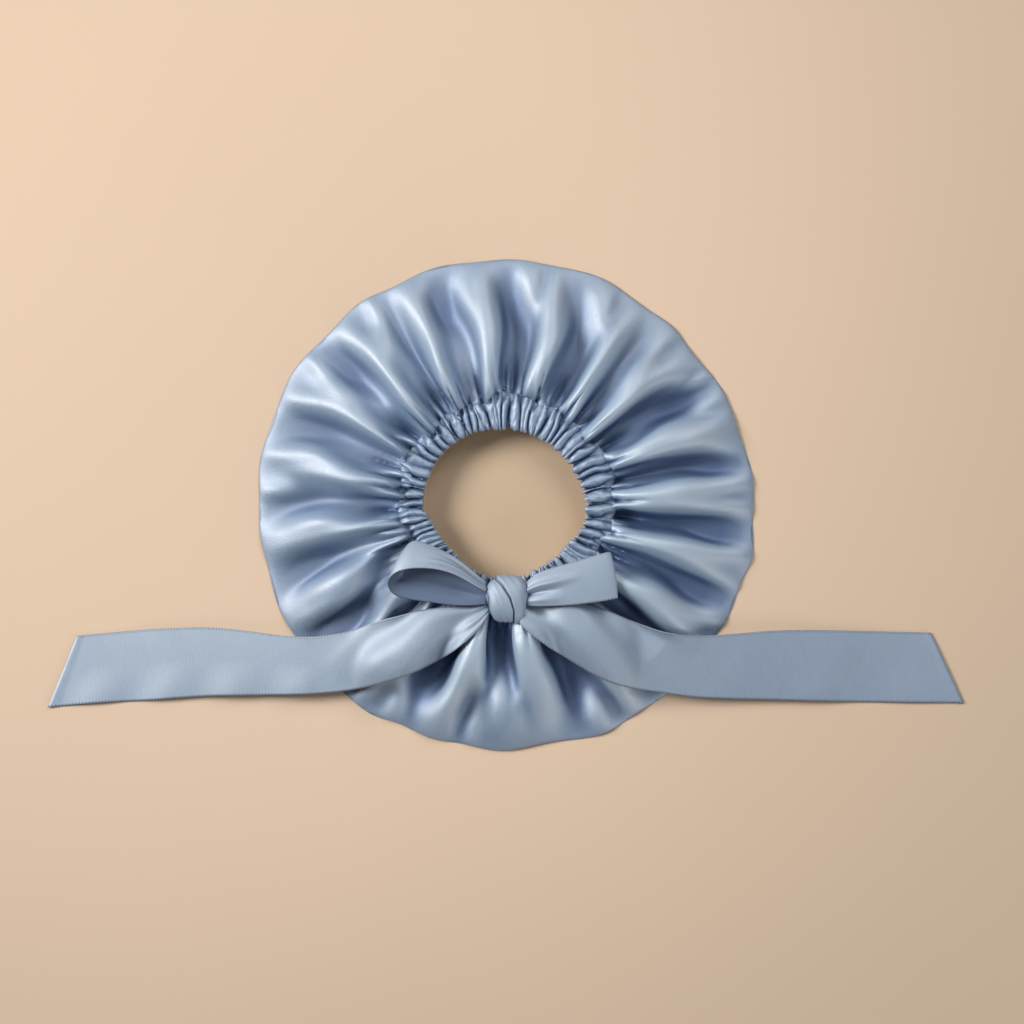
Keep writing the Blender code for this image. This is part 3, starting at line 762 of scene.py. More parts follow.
def nearest_gap(edge, others, depths):
    """The angle on from each valley's edge to the nearest other valley, for each row. Valleys
    that have all but died out there don't count."""
    gap = np.mod(others[:, None, :] - edge[:, :, None] + 2.0, 360) - 2.0
    dead = 40 * (1 - ease(depths / 0.3))[:, None, :]
    own = np.eye(len(VALLEYS))[None] * 400
    return np.clip((gap + dead + own).min(axis=2), 0.4, 16)


def fold_relief(radius_mm, degrees):
    """How deep the valleys cut, as a share of the deepest fold there, on a grid of radii by
    angles. The shaded flank of a valley fills its charted part. Its lit flank comes on top of
    that, and takes up to half of the ridge beside it. The ridges between are rounded by a wide,
    shallow dip that goes with each valley. Where two valleys meet, the deeper one wins."""
    places = np.interp(radius_mm, CHART_RADII_MM, np.arange(4)) / 3
    chart = np.array(VALLEYS)
    start, end, deep = (
        np.stack([smooth_through(row[part, None], places)[:, 0] for row in chart], axis=1)
        for part in (slice(0, 8, 2), slice(1, 8, 2), slice(8, 12))
    )
    deep = deep.clip(0)
    before, after = nearest_gap(-start, -end, deep), nearest_gap(end, start, deep)
    share = lit_share(start)
    floor = start + (end - start) * (0.78 - 0.56 * share)
    lit = 0.9 * (end - start) + 1.2
    left = floor - start + np.minimum(LIT_SHARE * before, lit * (0.15 + 0.85 * share))
    right = end - floor + np.minimum(LIT_SHARE * after, lit * (1 - 0.85 * share))
    wide_left, wide_right = floor - start + 0.5 * before, end - floor + 0.5 * after
    soft = ease((radius_mm - 92) / 50)[:, None]
    total = np.zeros((len(radius_mm), len(degrees)))
    for k in range(len(VALLEYS)):
        turn = turn_between(degrees[None, :], floor[:, k, None])
        narrow = valley_shape(turn, left[:, k, None], right[:, k, None], soft)
        wide = valley_shape(turn, wide_left[:, k, None], wide_right[:, k, None], ROUND_SOFT)
        shape = (1 - ROUND_SHARE) * narrow + ROUND_SHARE * wide
        total = np.maximum(total, deep[:, k, None] * shape)
    return total


def pleat_relief(radius_mm, degrees):
    """The small pleats in mm, which die away within a centimetre of the seam."""
    fade = bell(radius_mm - SEAM_MM, SMALL_PLEAT_REACH_MM)[:, None]
    total = np.zeros((len(radius_mm), len(degrees)))
    for angle, depth in PLEATS[:, :2]:
        turn = turn_between(degrees[None, :], angle)
        shape = valley_shape(turn, SMALL_PLEAT_HALF, SMALL_PLEAT_HALF, 0)
        total = np.maximum(total, depth * shape * fade)
    return total * SMALL_PLEAT_MM


# %% [markdown]
# ## The crown
#
# The carved ring only says where the folds are. What they look like is up to the cloth: each
# ring of it is longer than its own circle, so the spare length has to stand up in folds, and
# satin bends in round ridges with narrow creases between them. How much longer is charted in
# SPARE. By the seam that is less than a flat circle gathered this far would give, and the small
# ribs added later stand for the rest.
#
# So the carved ring is let go as cloth. Its threads are links that keep their length, longer
# links resist bending, a little air inside holds it up, and a weak pull keeps the folds near
# their charted places. It settles in a few hundred small steps. The grid runs from the seam,
# over the puff and the rim, to the underside. Its columns are angles.

# %% The carved ring, with spare cloth in every ring
SPARE = (
    (78, 1.35), (85, 1.52), (95, 1.5), (105, 1.43), (115, 1.36), (130, 1.27), (145, 1.18),
    (160, 1.09), (170, 1.03), (176, 1),
)
LEAST_FLOOR = (0.74, 0.9)
RING_BLUR = 6
FIT_STEPS, FIT_ROWS = 12, 7
CROWN_COLUMNS = 720
CROWN_ROWS = 80
CROWN_WALL_MM = 1.0


def polar_mm(radius, degrees, height):
    angle = np.radians(degrees)
    return np.stack([radius * np.cos(angle), radius * np.sin(angle), height], axis=-1)


def ring_links(points):
    return np.linalg.norm(np.roll(points, -1, axis=1) - points, axis=2)


def blur(values, cells):
    """The mean over this many cells each way round the ring."""
    shifts = range(-cells, cells + 1)
    return sum(np.roll(values, shift, axis=1) for shift in shifts) / len(shifts)


def even_crest():
    """The crest line in even steps along its length, and how far along each step is."""
    crest = smooth_through(CRESTS, np.linspace(0, 1, 600))
    along = running(np.hypot(*np.diff(crest[:, :2], axis=0).T))
    places = np.linspace(0, along[-1], CROWN_ROWS)
    return np.stack([np.interp(places, along, column) for column in crest.T]), places


def carved_crown():
    """The start of the crown: crest height minus relief. Each ring's relief is scaled until the
    ring is as much longer than its circle as SPARE says, or as near as its depth allows. Gives
    the points, the ring with no folds, the cloth's length between neighbours round the ring,
    and the step between rings."""
    degrees = ring_degrees(CROWN_COLUMNS)
    (radius, height, deep, spread), places = even_crest()
    relief = fold_relief(radius, degrees) * deep[:, None] + pleat_relief(radius, degrees)
    swell = (outline_mm(RIM_OUTLINE, degrees) - RIM_MM)[None, :] * spread[:, None]
    circle = 2 * np.pi * radius
    wanted = circle * look_up(SPARE, radius)
    deepest = np.maximum(LEAST_FLOOR[0] * height - LEAST_FLOOR[1], 0.05)[:, None]
    scale = np.ones(CROWN_ROWS)
    for _ in range(FIT_STEPS):
        cut = deepest * np.tanh(scale[:, None] * relief / deepest)
        points = polar_mm(radius[:, None] + swell, degrees[None, :], height[:, None] - cut)
        spare = np.maximum(ring_links(points).sum(axis=1) - circle, 1)
        scale *= np.clip(np.sqrt(np.maximum(wanted - circle, 1) / spare), 0.8, 1.25)
        padded = np.pad(scale.clip(0.6, 1.8), FIT_ROWS // 2, "edge")
        scale = np.convolve(padded, np.full(FIT_ROWS, 1 / FIT_ROWS), "valid")
    links = ring_links(points)
    wanted = np.minimum(wanted, 1.01 * links.sum(axis=1))
    links = blur(links, RING_BLUR) * (wanted / links.sum(axis=1))[:, None]
    smooth = polar_mm(radius[:, None] + swell, degrees[None, :], height[:, None] + 0 * swell)
    return points, smooth, links, places[1]


# %% Letting it settle as cloth
RIM_GOAL = 0.10
RIM_FIXED = (150, 168)
TAUT = 0.955
(CROWN_CLOTH,) = table(
    "steps damping air goal shear bends",
    (450, 0.96, 0.011, 0.01, 0.12, ((2, 0.3, 0.3), (8, 0.25, 0.24), (18, 0.06, 0.08))),
)
CEILING_PULL, FASTEST_MM = 0.3, 0.6
GOAL_FROM_MM, GOAL_OVER_MM = 140, 34
AIR_TO_MM, AIR_OVER_MM = 130, 40
FLOOR_MM = (
    (78, 14), (85, 11.5), (96, 9.5), (110, 8), (130, 5.5), (150, 3), (160, 1.8), (170, 1),
    (176, 0),
)
CEILING_MM = ((78, 26), (86, 31.5), (98, 34), (170, 16))
LEAST_TURN = 2e-4


def link(first, second, rest, stiffness, push_only=False):
    """How far to move the first end of each link towards the second, the other end going as far
    the other way, so that the link comes back to its rest length. push_only leaves long links
    as they are."""
    step = second - first
    length = np.sqrt((step * step).sum(axis=-1)) + 1e-9
    stretch = 1 - rest / length
    if push_only:
        stretch = np.minimum(stretch, 0)
    return (0.5 * stiffness * stretch)[..., None] * step


def pull_rings(points, rest):
    """Threads round the ring, even links first and then odd ones."""
    for shift in (0, 1):
        turned = np.roll(points, -shift, axis=1)
        pairs = turned.reshape(len(points), -1, 2, 3)
        move = link(pairs[:, :, 0], pairs[:, :, 1], rest[:, shift::2], 1.0)
        pairs[:, :, 0] += move
        pairs[:, :, 1] -= move
        points = np.roll(turned, shift, axis=1)
    return points


def pull_rows(points, rest):
    """Threads from the seam to the rim, even links first and then odd ones."""
    for start in (0, 1):
        count = (len(points) - start) // 2 * 2
        pairs = points[start : start + count].reshape(-1, 2, points.shape[1], 3)
        move = link(pairs[:, 0], pairs[:, 1], rest, 1.0)
        pairs[:, 0] += move
        pairs[:, 1] -= move
    return points


def pull_diagonals(points, rest, stiffness):
    """Shear: soft links across the cells, both ways."""
    for start in (0, 1):
        for side in (1, -1):
            upper = points[start:-1:2]
            lower = np.roll(points[start + 1 :: 2], -side, axis=1)
            count = min(len(upper), len(lower))
            move = link(upper[:count], lower[:count], rest[start::2][:count], stiffness)
            points[start:-1:2][:count] += move
            points[start + 1 :: 2][:count] -= np.roll(move, side, axis=1)
    return points


def push_bends(points, long_links, row_step, bends):
    """Bending: links over several cells that may not grow shorter than the flat cloth."""
    for cells, round_stiff, row_stiff in bends:
        move = link(points, np.roll(points, -cells, axis=1), long_links[cells], round_stiff, True)
        points = points + move - np.roll(move, cells, axis=1)
        move = link(points[:-cells], points[cells:], cells * row_step, row_stiff, True)
        points[:-cells] += move
        points[cells:] -= move
    return points


def keep_order(points):
    """No fold laps over its neighbour: the angles in a ring keep growing."""
    angle = np.unwrap(np.arctan2(points[..., 1], points[..., 0]), axis=1)
    gap = np.diff(np.concatenate([angle, angle[:, :1] + 2 * np.pi], axis=1), axis=1)
    move = 0.45 * np.maximum(LEAST_TURN - gap, 0)
    angle = angle + np.roll(move, 1, axis=1) - move
    radius = out_mm(points)
    points[..., 0], points[..., 1] = radius * np.cos(angle), radius * np.sin(angle)
    return points


def settle(points, links, row_step, cloth):
    """Position-based cloth. Each step adds speed and a breath of air, then puts every link
    right once. The seam and the rows on the table stay where they are."""
    start = points.copy()
    speed = np.zeros_like(points)
    long_links = {
        cells: sum(np.roll(links, -shift, axis=1) for shift in range(cells))
        for cells, _, _ in cloth.bends
    }
    radius = out_mm(points).mean(axis=1)[:, None]
    floor = look_up(FLOOR_MM, radius)
    ceiling = look_up(CEILING_MM, radius)
    goal = cloth.goal + RIM_GOAL * ease((radius - GOAL_FROM_MM) / GOAL_OVER_MM)[..., None] ** 2
    air = cloth.air * (1 - ease((radius - AIR_TO_MM) / AIR_OVER_MM))[..., None]
    diagonal = np.hypot((links[1:] + links[:-1]) / 2, row_step)
    for _ in range(cloth.steps):
        before = points.copy()
        points = points + cloth.damping * speed + air * normals_of(points, True) * UP
        points += goal * (start - points)
        height = np.maximum(points[..., 2], floor)
        points[..., 2] = height - CEILING_PULL * np.maximum(height - ceiling, 0)
        for part, values in (
            (pull_rings, (links,)),
            (pull_rows, (TAUT * row_step,)),
            (pull_diagonals, (diagonal, cloth.shear)),
            (push_bends, (long_links, row_step, cloth.bends)),
            (keep_order, ()),
        ):
            points = part(points, *values)
            points[0], points[-2:] = start[0], start[-2:]
        speed = points - before
        fastest = np.maximum(np.sqrt((speed * speed).sum(axis=-1, keepdims=True)), 1e-9)
        speed *= np.minimum(1, FASTEST_MM / fastest)
    fixed = ease((radius - RIM_FIXED[0]) / (RIM_FIXED[1] - RIM_FIXED[0]))[..., None]
    return points + (start - points) * fixed


# %% Ironing the folds, and the seam
IRON_STEPS = 160
IRON_MM = ((78, 0.3), (84, 2), (95, 7), (110, 12), (150, 13), (176, 7))
IRON_ROUND_MM = ((78, 0), (90, 0.6), (105, 1.1), (125, 1.9), (160, 2.6), (176, 2.4))
LOWEST_SHARE = 0.22
SEAM_REACH_MM, SEAM_LIFT_MM = 11, 2.2
CROWN_RIB_MM, RIB_REACH_MM = 6.0, 18.0
DEEPEN = ((78, 1), (86, 1.25), (110, 1.45), (140, 1.6), (165, 1.45), (176, 1))


def iron(points, smooth):
    """Satin drapes straight from the seam to the rim. So the offset from the smooth ring is
    spread along the rows by IRON_MM and round the ring by IRON_ROUND_MM. Its height is first
    deepened by DEEPEN, because the spreading flattens it."""
    radius = out_mm(smooth).mean(axis=1)
    offset = points - smooth
    offset[..., 2] *= look_up(DEEPEN, radius)[:, None]
    angle = np.radians(ring_degrees(CROWN_COLUMNS))
    out = np.stack([np.cos(angle), np.sin(angle), 0 * angle], axis=1)[None]
    side = np.stack([-np.sin(angle), np.cos(angle), 0 * angle], axis=1)[None]
    local = [(offset * out).sum(axis=2), (offset * side).sum(axis=2), offset[..., 2]]
    local = np.stack(local, axis=2)
    along = (look_up(IRON_MM, radius) / row_step) ** 2 / 2 / IRON_STEPS
    round_it = look_up(IRON_ROUND_MM, radius) / (2 * np.pi * radius / CROWN_COLUMNS)
    round_it = round_it**2 / 2 / IRON_STEPS
    for _ in range(IRON_STEPS):
        ends = np.concatenate([local[:1], local, local[-1:]])
        local = local + along[:, None, None] * (ends[2:] - 2 * local + ends[:-2])
        neighbours = np.roll(local, 1, axis=1) + np.roll(local, -1, axis=1)
        local = local + round_it[:, None, None] * (neighbours - 2 * local)
    offset = local[..., :1] * out + local[..., 1:2] * side
    crest = smooth[..., 2]
    height, low = crest + local[..., 2], LOWEST_SHARE * crest
    offset[..., 2] = 0.5 * (height + low + np.hypot(height - low, 0.1 * crest)) - crest
    return smooth + offset


def follow_seam(points):
    """The cloth near the seam moved in and out with it, and lifted by the turned edge below."""
    degrees = ring_degrees(CROWN_COLUMNS)
    radius = out_mm(points)
    near = bell(radius - SEAM_MM, SEAM_REACH_MM)
    move = 1 + seam_wander(degrees) * near / radius
    moved = points * move[..., None]
    moved[..., 2] = points[..., 2] + SEAM_LIFT_MM * near
    return moved


def add_ribs(points):
    """The casing's ribs run on over the seam. They cut down into the crown's cloth, and die out
    within RIB_REACH_MM."""
    radius = out_mm(points)
    degrees = np.degrees(np.arctan2(points[..., 1], points[..., 0]))
    cut = ribs(PLEATS, degrees, np.zeros(len(points)), 0, CROWN_RIB_POWER)
    cut *= bell(radius - SEAM_MM, RIB_REACH_MM)
    return points + (CROWN_RIB_MM * cut)[..., None] * [0, 0, 1], cut


carved, smooth_ring, ring_rest, row_step = carved_crown()
UP = np.sign(normals_of(carved, True)[10:30, :, 2].mean())
settled = iron(settle(carved, ring_rest, row_step, CROWN_CLOTH), smooth_ring)
settled, rib_cut = add_ribs(follow_seam(settled))
print("settled, heights", settled[..., 2].min(), settled[..., 2].max())
kept_length = ring_links(settled).sum(axis=1) / ring_rest.sum(axis=1)
print("ring lengths, as shares of the length at rest", kept_length[::10].round(2))


# %% The crown's wall
# The crown's painted shade in the folds and painted highlight on the crests: where the shade starts
# and how fast it grows, its strength by radius, how the highlight is found, and its strength by
# radius and by direction.
FOLD_SHADE_FROM, FOLD_SHADE_RANGE = 0.24, 0.62
FOLD_SHADE_MM = ((78, 1), (100, 0.95), (130, 0.8), (150, 0.65), (168, 0.3), (178, 0))
UNDERSIDE_SHARES = (0.93, 0.85, 0.74, 0.6, 0.45, 0.3, 0.16, 0.07)
TUCK_SHARE, TUCK_MM = (0.968, 0.968, 1), (0, 0, 3.5)
CROWN_MAP_RADIUS, CASING_MAP_RADIUS, LINING_MAP_RADIUS = 0.190, 0.125, 0.1
INNER_ROW_STEP = 3
CREST_HIGHLIGHT_CELLS, CREST_HIGHLIGHT_MM = 9, 3.0
CREST_HIGHLIGHT_SHARE = ((78, 0.6), (90, 0.75), (110, 0.55), (150, 0.5), (168, 0.4), (176, 0))
CREST_HIGHLIGHT_TURN = (
    (0, 2), (50, 1.7), (75, 1), (140, 0.8), (155, 0.3), (222, 0.3), (236, 1.2), (246, 2.6),
    (300, 2.6), (314, 2), (360, 2),
)


def ring_map(radius, columns, along):
    """Metres of cloth: the way round a ring of this radius, and the way along it."""
    return flat_grid(np.arange(columns)[None, :] * 2 * np.pi * radius / columns, along)


def crown_points():
    """The settled cloth, with its edge tucked into the casing and the flat underside added."""
    tucked = settled[0] * TUCK_SHARE - TUCK_MM
    flat = np.array(UNDERSIDE_SHARES)[:, None, None] * settled[-1][None]
    flat[..., 2] = settled[-1, :, 2]
    return np.concatenate([tucked[None], settled, flat])


def crown_painted_shading():
    """The painted shade and highlight of each point. The shade grows with how deep it lies in a
    fold: its share of the crest's height, eased in, strongest by the seam and none at the rim.
    The grooves between the ribs are painted dark too. Where the cloth stands above its
    neighbours round the ring, the value is lower, down to -1 on a sharp crest, a painted
    highlight, and where it lies below them a little higher. A table by direction makes that
    stronger in some directions. It was set against the photo, because the lamps don't give all
    its highlights."""
    crest = smooth_ring[..., 2]
    radius = out_mm(settled)
    down = ease(((crest - settled[..., 2]) / np.maximum(crest, 1) - FOLD_SHADE_FROM) / FOLD_SHADE_RANGE)
    deep = np.maximum(down * look_up(FOLD_SHADE_MM, radius), rib_groove_painted_shade(rib_cut))
    rise = (settled[..., 2] - blur(settled[..., 2], CREST_HIGHLIGHT_CELLS)) / CREST_HIGHLIGHT_MM
    degrees = np.degrees(np.arctan2(settled[..., 1], settled[..., 0])) % 360
    share = look_up(CREST_HIGHLIGHT_SHARE, radius) * look_up(CREST_HIGHLIGHT_TURN, degrees)
    return np.clip(deep - np.clip(rise, -0.5, 1) * share, -1, 1)


def make_crown():
    points = crown_points()
    behind = points - normals_of(points, True) * UP * CROWN_WALL_MM
    kept = np.r_[0 : len(points) - 1 : INNER_ROW_STEP, len(points) - 1]
    along = running(np.linalg.norm(np.diff(points, axis=0), axis=2).mean(axis=1))[:, None] * MM
    flat_map = ring_map(CROWN_MAP_RADIUS, CROWN_COLUMNS, along)
    painted_shading = np.zeros(points.shape[:2])
    painted_shading[1 : 1 + CROWN_ROWS] = crown_painted_shading()
    crown = cloth_wall(
        "crown_folds", points * MM, flat_map, 0, CROWN_SATIN, True, UP, behind[kept] * MM, kept,
        True, painted_shading,
    )
    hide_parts("crown")
    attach(crown, "root")
    low, high = points[..., 2].min(), points[..., 2].max()
    print("crown", len(crown.data.polygons), "faces, lowest and highest", low, high)


make_crown()

# %% [markdown]
# ## The elastic casing
#
# The turned edge makes a tunnel for the elastic. Once the elastic pulls, the tunnel crumples
# into round ribs with deep grooves between them. No two are alike: each leans and bends its own
# way, finer ones split off near the mouth, and small creases run slanting over them. It is the
# same cloth as the crown, so the ribs run on over the stitch line and die out on the crown's
# folds. That is a smooth tube first, then its cloth is pushed in and out along the normals.

# %% The casing's ribs
CASING_TOP_MM, CASING_BOTTOM_MM = 23.6, 18.2
CASING_COLUMNS, RINGS_BY_SEAM = 1440, 26
RUN_OUT_MM, RUN_OUT_ROWS, RUN_OUT_LIFT_MM = 2.4, 4, (0.05, -4.5)
# The stitch line is painted dark, as shade in its crease, over the first share of the tube's
# section.
STITCH_SHADE, STITCH_SHARE = 0.5, 0.1
TOP_ROWS, EDGE_ROWS, BOTTOM_ROWS = 22, 14, 6
EDGE_FROM = 0.82
BELOW_SHARES = (0.7, -0.02)
OWN_FROM = 0.35
EDGE_BLUR = 30
GROOVE_MM = 6.2
FINE_GROOVE_MM = 1.3
WANDER = 3.2
CREASE_MM = 0.16
FINE_COUNT, FINE_STRAY = 144, 0.8
FINE_PLEATS = with_ways(
    ring_degrees(FINE_COUNT) + dice.uniform(-FINE_STRAY, FINE_STRAY, FINE_COUNT),
    dice.uniform(0.2, 1, FINE_COUNT),
)


def creases(degrees, share, count=10):
    """Small creases: waves of many lengths that run slanting over the ribs, added up."""
    total = np.zeros((len(share), len(degrees)))
    for _ in range(count):
        turns, climbs = dice.integers(20, 140), dice.uniform(-5, 5)
        wave = np.radians(turns * degrees)[None, :] + 2 * math.pi * climbs * share[:, None]
        total += np.sin(wave + dice.uniform(0, 2 * math.pi))
    return total / math.sqrt(count)


def crown_height(radius, degrees):
    """How high the crown's cloth lies at these radii near the seam, a column for each angle."""
    near = settled[:RINGS_BY_SEAM]
    angle = np.degrees(np.unwrap(np.arctan2(near[..., 1], near[..., 0]), axis=1))
    height, out = (
        [np.interp(degrees, a, row, period=360) for a, row in zip(angle, values)]
        for values in (near[..., 2], out_mm(near))
    )
    columns = zip(radius.T, np.maximum.accumulate(out, axis=0).T, np.transpose(height))
    return np.stack([np.interp(*column) for column in columns], axis=1)


def casing_points():
    """The tube, as rows round its section: from where the ribs run out on the crown, in to the
    seam, over the top, round the mouth's edge and back below."""
    degrees = ring_degrees(CASING_COLUMNS)
    seam = SEAM_MM + seam_wander(degrees)
    beyond = np.linspace(1, 0, RUN_OUT_ROWS, endpoint=False)[:, None]
    radius = seam + RUN_OUT_MM * beyond
    lift = RUN_OUT_LIFT_MM[0] + (RUN_OUT_LIFT_MM[1] - RUN_OUT_LIFT_MM[0]) * ease(beyond)
    run_out = polar_mm(radius, degrees[None, :], crown_height(radius, degrees) + lift)
    turn = np.linspace(0, math.pi, EDGE_ROWS)
    thick = CASING_TOP_MM - CASING_BOTTOM_MM
    top = np.linspace(0, EDGE_FROM, TOP_ROWS, endpoint=False)
    below = np.linspace(*BELOW_SHARES, BOTTOM_ROWS)
    share = np.concatenate([top, EDGE_FROM + (1 - EDGE_FROM) * np.sin(turn), below])
    height = CASING_BOTTOM_MM + thick * np.concatenate(
        [np.ones(TOP_ROWS), (1 + np.cos(turn)) / 2, np.zeros(BOTTOM_ROWS)]
    )
    own = np.concatenate([ease(top / OWN_FROM), np.ones(EDGE_ROWS + BOTTOM_ROWS)])[:, None]
    edge = crown_height(seam[None], degrees) + RUN_OUT_LIFT_MM[0]
    radius = seam + (outline_mm(MOUTH_OUTLINE, degrees) - seam) * share[:, None]
    tube, even = (
        polar_mm(radius, degrees[None, :], joined * (1 - own) + height[:, None] * own)
        for joined in (edge, blur(edge, EDGE_BLUR))
    )
    normal = normals_of(np.concatenate([even[-1:], even, even[:1]]), True)[1:-1]
    normal *= np.sign(normal[TOP_ROWS // 2, :, 2].mean())
    round_edge = 0.25 + 0.75 * ease(2 - 1.8 * turn / math.pi)
    turned = np.concatenate([np.ones(TOP_ROWS), round_edge, np.zeros(BOTTOM_ROWS)])
    grid = np.broadcast_to(degrees, (len(share), CASING_COLUMNS))
    cut = ribs(PLEATS, grid, share.clip(0), WANDER, RIB_POWER)
    fine = ribs(FINE_PLEATS, grid, share.clip(0), 1.0, RIB_POWER)
    fine *= ease((share - 0.5) / 0.4)[:, None]
    relief = own * (GROOVE_MM * cut + FINE_GROOVE_MM * fine + CREASE_MM * creases(degrees, share))
    # Painted shade: the grooves between the ribs and the stitch line are darkened, and the run-out
    # rows darken as they dive into the crown.
    painted_shading = rib_groove_painted_shade(cut + 0.4 * fine) * (turned[:, None] > 0)
    painted_shading = np.maximum(painted_shading, STITCH_SHADE * ease(1 - share / STITCH_SHARE)[:, None])
    tube += (turned[:, None] * relief)[..., None] * normal
    run_out_shade = painted_shading[:1] + (1 - painted_shading[:1]) * ease(beyond / 0.5)
    return np.concatenate([run_out, tube]), np.concatenate([run_out_shade, painted_shading])


def make_casing():
    points, painted_shading = casing_points()
    rows = len(points)
    flat_map = ring_map(CASING_MAP_RADIUS, CASING_COLUMNS, np.linspace(0, 0.05, rows)[:, None])
    upwards = normals_of(points, True)[RUN_OUT_ROWS + TOP_ROWS // 2, :, 2].mean() > 0
    quads = grid_faces(rows + 1, CASING_COLUMNS, True, 0, flip=upwards) % (rows * CASING_COLUMNS)
    casing = mesh_object(
        "casing_ribs", points.reshape(-1, 3) * MM, quads, flat_map.reshape(-1, 2), CROWN_SATIN,
        painted_shading=painted_shading.ravel(),
    )
    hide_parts("elastic_casing")
    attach(casing, "root")
    print("casing", len(casing.data.polygons), "faces, highest", points[..., 2].max().round(1))


make_casing()

# %% [markdown]
# ## The lining
#
# Inside lies a plain lining of smooth beige cloth. Its floor shows through the mouth. It is a
# smaller bag than the crown, with its own edge caught under the casing.

# %% The lining's bag
LINING_PROFILE = table(
    "radius_mm height_mm",
    (57.5, 17.2), (61.5, 16), (65, 12), (69, 8), (76, 5.6), (92, 4.2), (110, 3.6), (130, 3.1),
    (144, 2.7), (150, 2.5), (153, 2.1), (150, 1.8), (144, 1.6), (80, 1.6), (12, 1.6),
)
LINING_CUT_MM, LINING_WALL_MM = 245, 0.8
LINING_ROWS, LINING_COLUMNS = 70, 360
WAVE_MM, WAVE_COUNT = 0.45, 46


def make_lining():
    degrees = ring_degrees(LINING_COLUMNS)
    radius, height = smooth_through(LINING_PROFILE, np.linspace(0, 1, LINING_ROWS)).T
    top_side = ease((radius - 57) / 10) * ease((height - 6) / 3)
    waves = WAVE_MM * np.cos(np.radians(WAVE_COUNT * degrees))[None, :] * top_side[:, None]
    height = np.clip(height, 1.5, None)
    points = polar_mm(radius[:, None] + 0 * waves, degrees[None, :], height[:, None] + waves)
    along = np.linspace(0, 0.27, LINING_ROWS)[:, None]
    flat_map = ring_map(LINING_MAP_RADIUS, LINING_COLUMNS, along)
    out = 1 if normals_of(points, True)[12, :, 2].mean() > 0 else -1
    lining = cloth_wall(
        "lining_bag", points * MM, flat_map, LINING_WALL_MM * MM, LINING_CLOTH, True, out, pole=True
    )
    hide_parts("lining")
    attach(lining, "root")
    print("lining", len(lining.data.polygons), "faces")


make_lining()

# %% [markdown]
# ## Where a ribbon rests
#
# The ribbon lies over the folds. It rests on the crests and bridges the valleys between them, so
# its height isn't the crown's own: it is the highest cloth within a centimetre or so, smoothed.
# That is worked out once, on a map of the bonnet seen from above, and every ribbon reads it.

# %% The resting map
CELL_MM, MAP_HALF_MM = 2.0, 220
BRIDGE_CELLS, SMOOTH_STEPS = 4, 10
CASING_FROM_MM, CASING_TO_MM = 50, 79


def shifted_copies(grid):
    padded = np.pad(grid, 1, "edge")
    return [grid, padded[:-2, 1:-1], padded[2:, 1:-1], padded[1:-1, :-2], padded[1:-1, 2:]]


def resting_map(points):
    """The highest point in each cell, spread over BRIDGE_CELLS and then smoothed."""
    size = int(2 * MAP_HALF_MM / CELL_MM)
    grid = np.zeros((size, size))
    cells = ((points[..., :2] + MAP_HALF_MM) / CELL_MM).astype(int)
    np.maximum.at(grid, (cells[..., 1].ravel(), cells[..., 0].ravel()), points[..., 2].ravel())
    middle = (np.arange(size) + 0.5) * CELL_MM - MAP_HALF_MM
    distance = np.hypot(middle[None, :], middle[:, None])
    casing = (distance > CASING_FROM_MM) & (distance < CASING_TO_MM)
    grid = np.where(casing, np.maximum(grid, CASING_TOP_MM + 1), grid)
    for _ in range(BRIDGE_CELLS):
        grid = np.max(shifted_copies(grid), axis=0)
    for _ in range(SMOOTH_STEPS):
        grid = np.mean(shifted_copies(grid), axis=0)
    return grid


def rest_height(x_mm, y_mm):
    """The resting map between its cells: the weighted mean of the four around. Beyond the map
    lies the table."""
    u = np.clip((x_mm + MAP_HALF_MM) / CELL_MM - 0.5, 0, len(RESTING) - 1.001)
    v = np.clip((y_mm + MAP_HALF_MM) / CELL_MM - 0.5, 0, len(RESTING) - 1.001)
    i, j = v.astype(int), u.astype(int)
    a, b = v - i, u - j
    low = RESTING[i, j] * (1 - b) + RESTING[i, j + 1] * b
    high = RESTING[i + 1, j] * (1 - b) + RESTING[i + 1, j + 1] * b
    return low * (1 - a) + high * a


RESTING = resting_map(settled)
print("resting map, highest", RESTING.max().round(1))

# %% [markdown]
# ## The ribbon's tails
#
# The tails are the two ends of one satin ribbon, 50 mm wide. At the knot the ribbon is squeezed to
# a third of its width or less, so lengthwise folds start there and open out. Each tail is a grid
# between its two charted edges. Its height is the resting map, or an arch over the bonnet's edge
# where that is higher, with the folds, a camber and slow waves along the lower edge added. The
# cut end is turned under in a narrow hem.

# %% The tails' edges
RIBBON_WALL_MM = 0.5
RIBBON_MM = 50
HEM_MM, HEM_RISE_MM, HEM_SOFT_MM = 6.0, 0.45, 1.2
STITCH_DIP_MM, STITCH_MM = 0.35, 0.5
CLEAR_MM, CAMBER_MM = 0.45, 0.5
ARCH_MM = ((150, 14), (170, 9.6), (190, 7.2), (220, 4.3), (250, 2.1), (275, 0.8), (300, 0))
TAIL_LEFT = table(
    "up_x up_y down_x down_y",
    (-13, -68.5, -12, -77), (-22, -70.2, -18.5, -86.5), (-32.5, -71.4, -27.5, -95.6),
    (-46, -72, -41, -105.6), (-60, -74, -56, -114.2), (-75, -78, -73, -121.2),
    (-92.5, -82.6, -92, -127), (-112, -89.4, -110.8, -131.2), (-134, -93, -131.5, -133.4),
    (-157, -92.6, -153.5, -134.4), (-181.8, -89.4, -181.8, -134.9), (-207, -87, -207, -135.4),
    (-228, -87, -231, -136.8), (-252.8, -88.2, -257, -138.8), (-279, -90.4, -286, -140.2),
    (-304.6, -92.8, -325.2, -143.6),
)
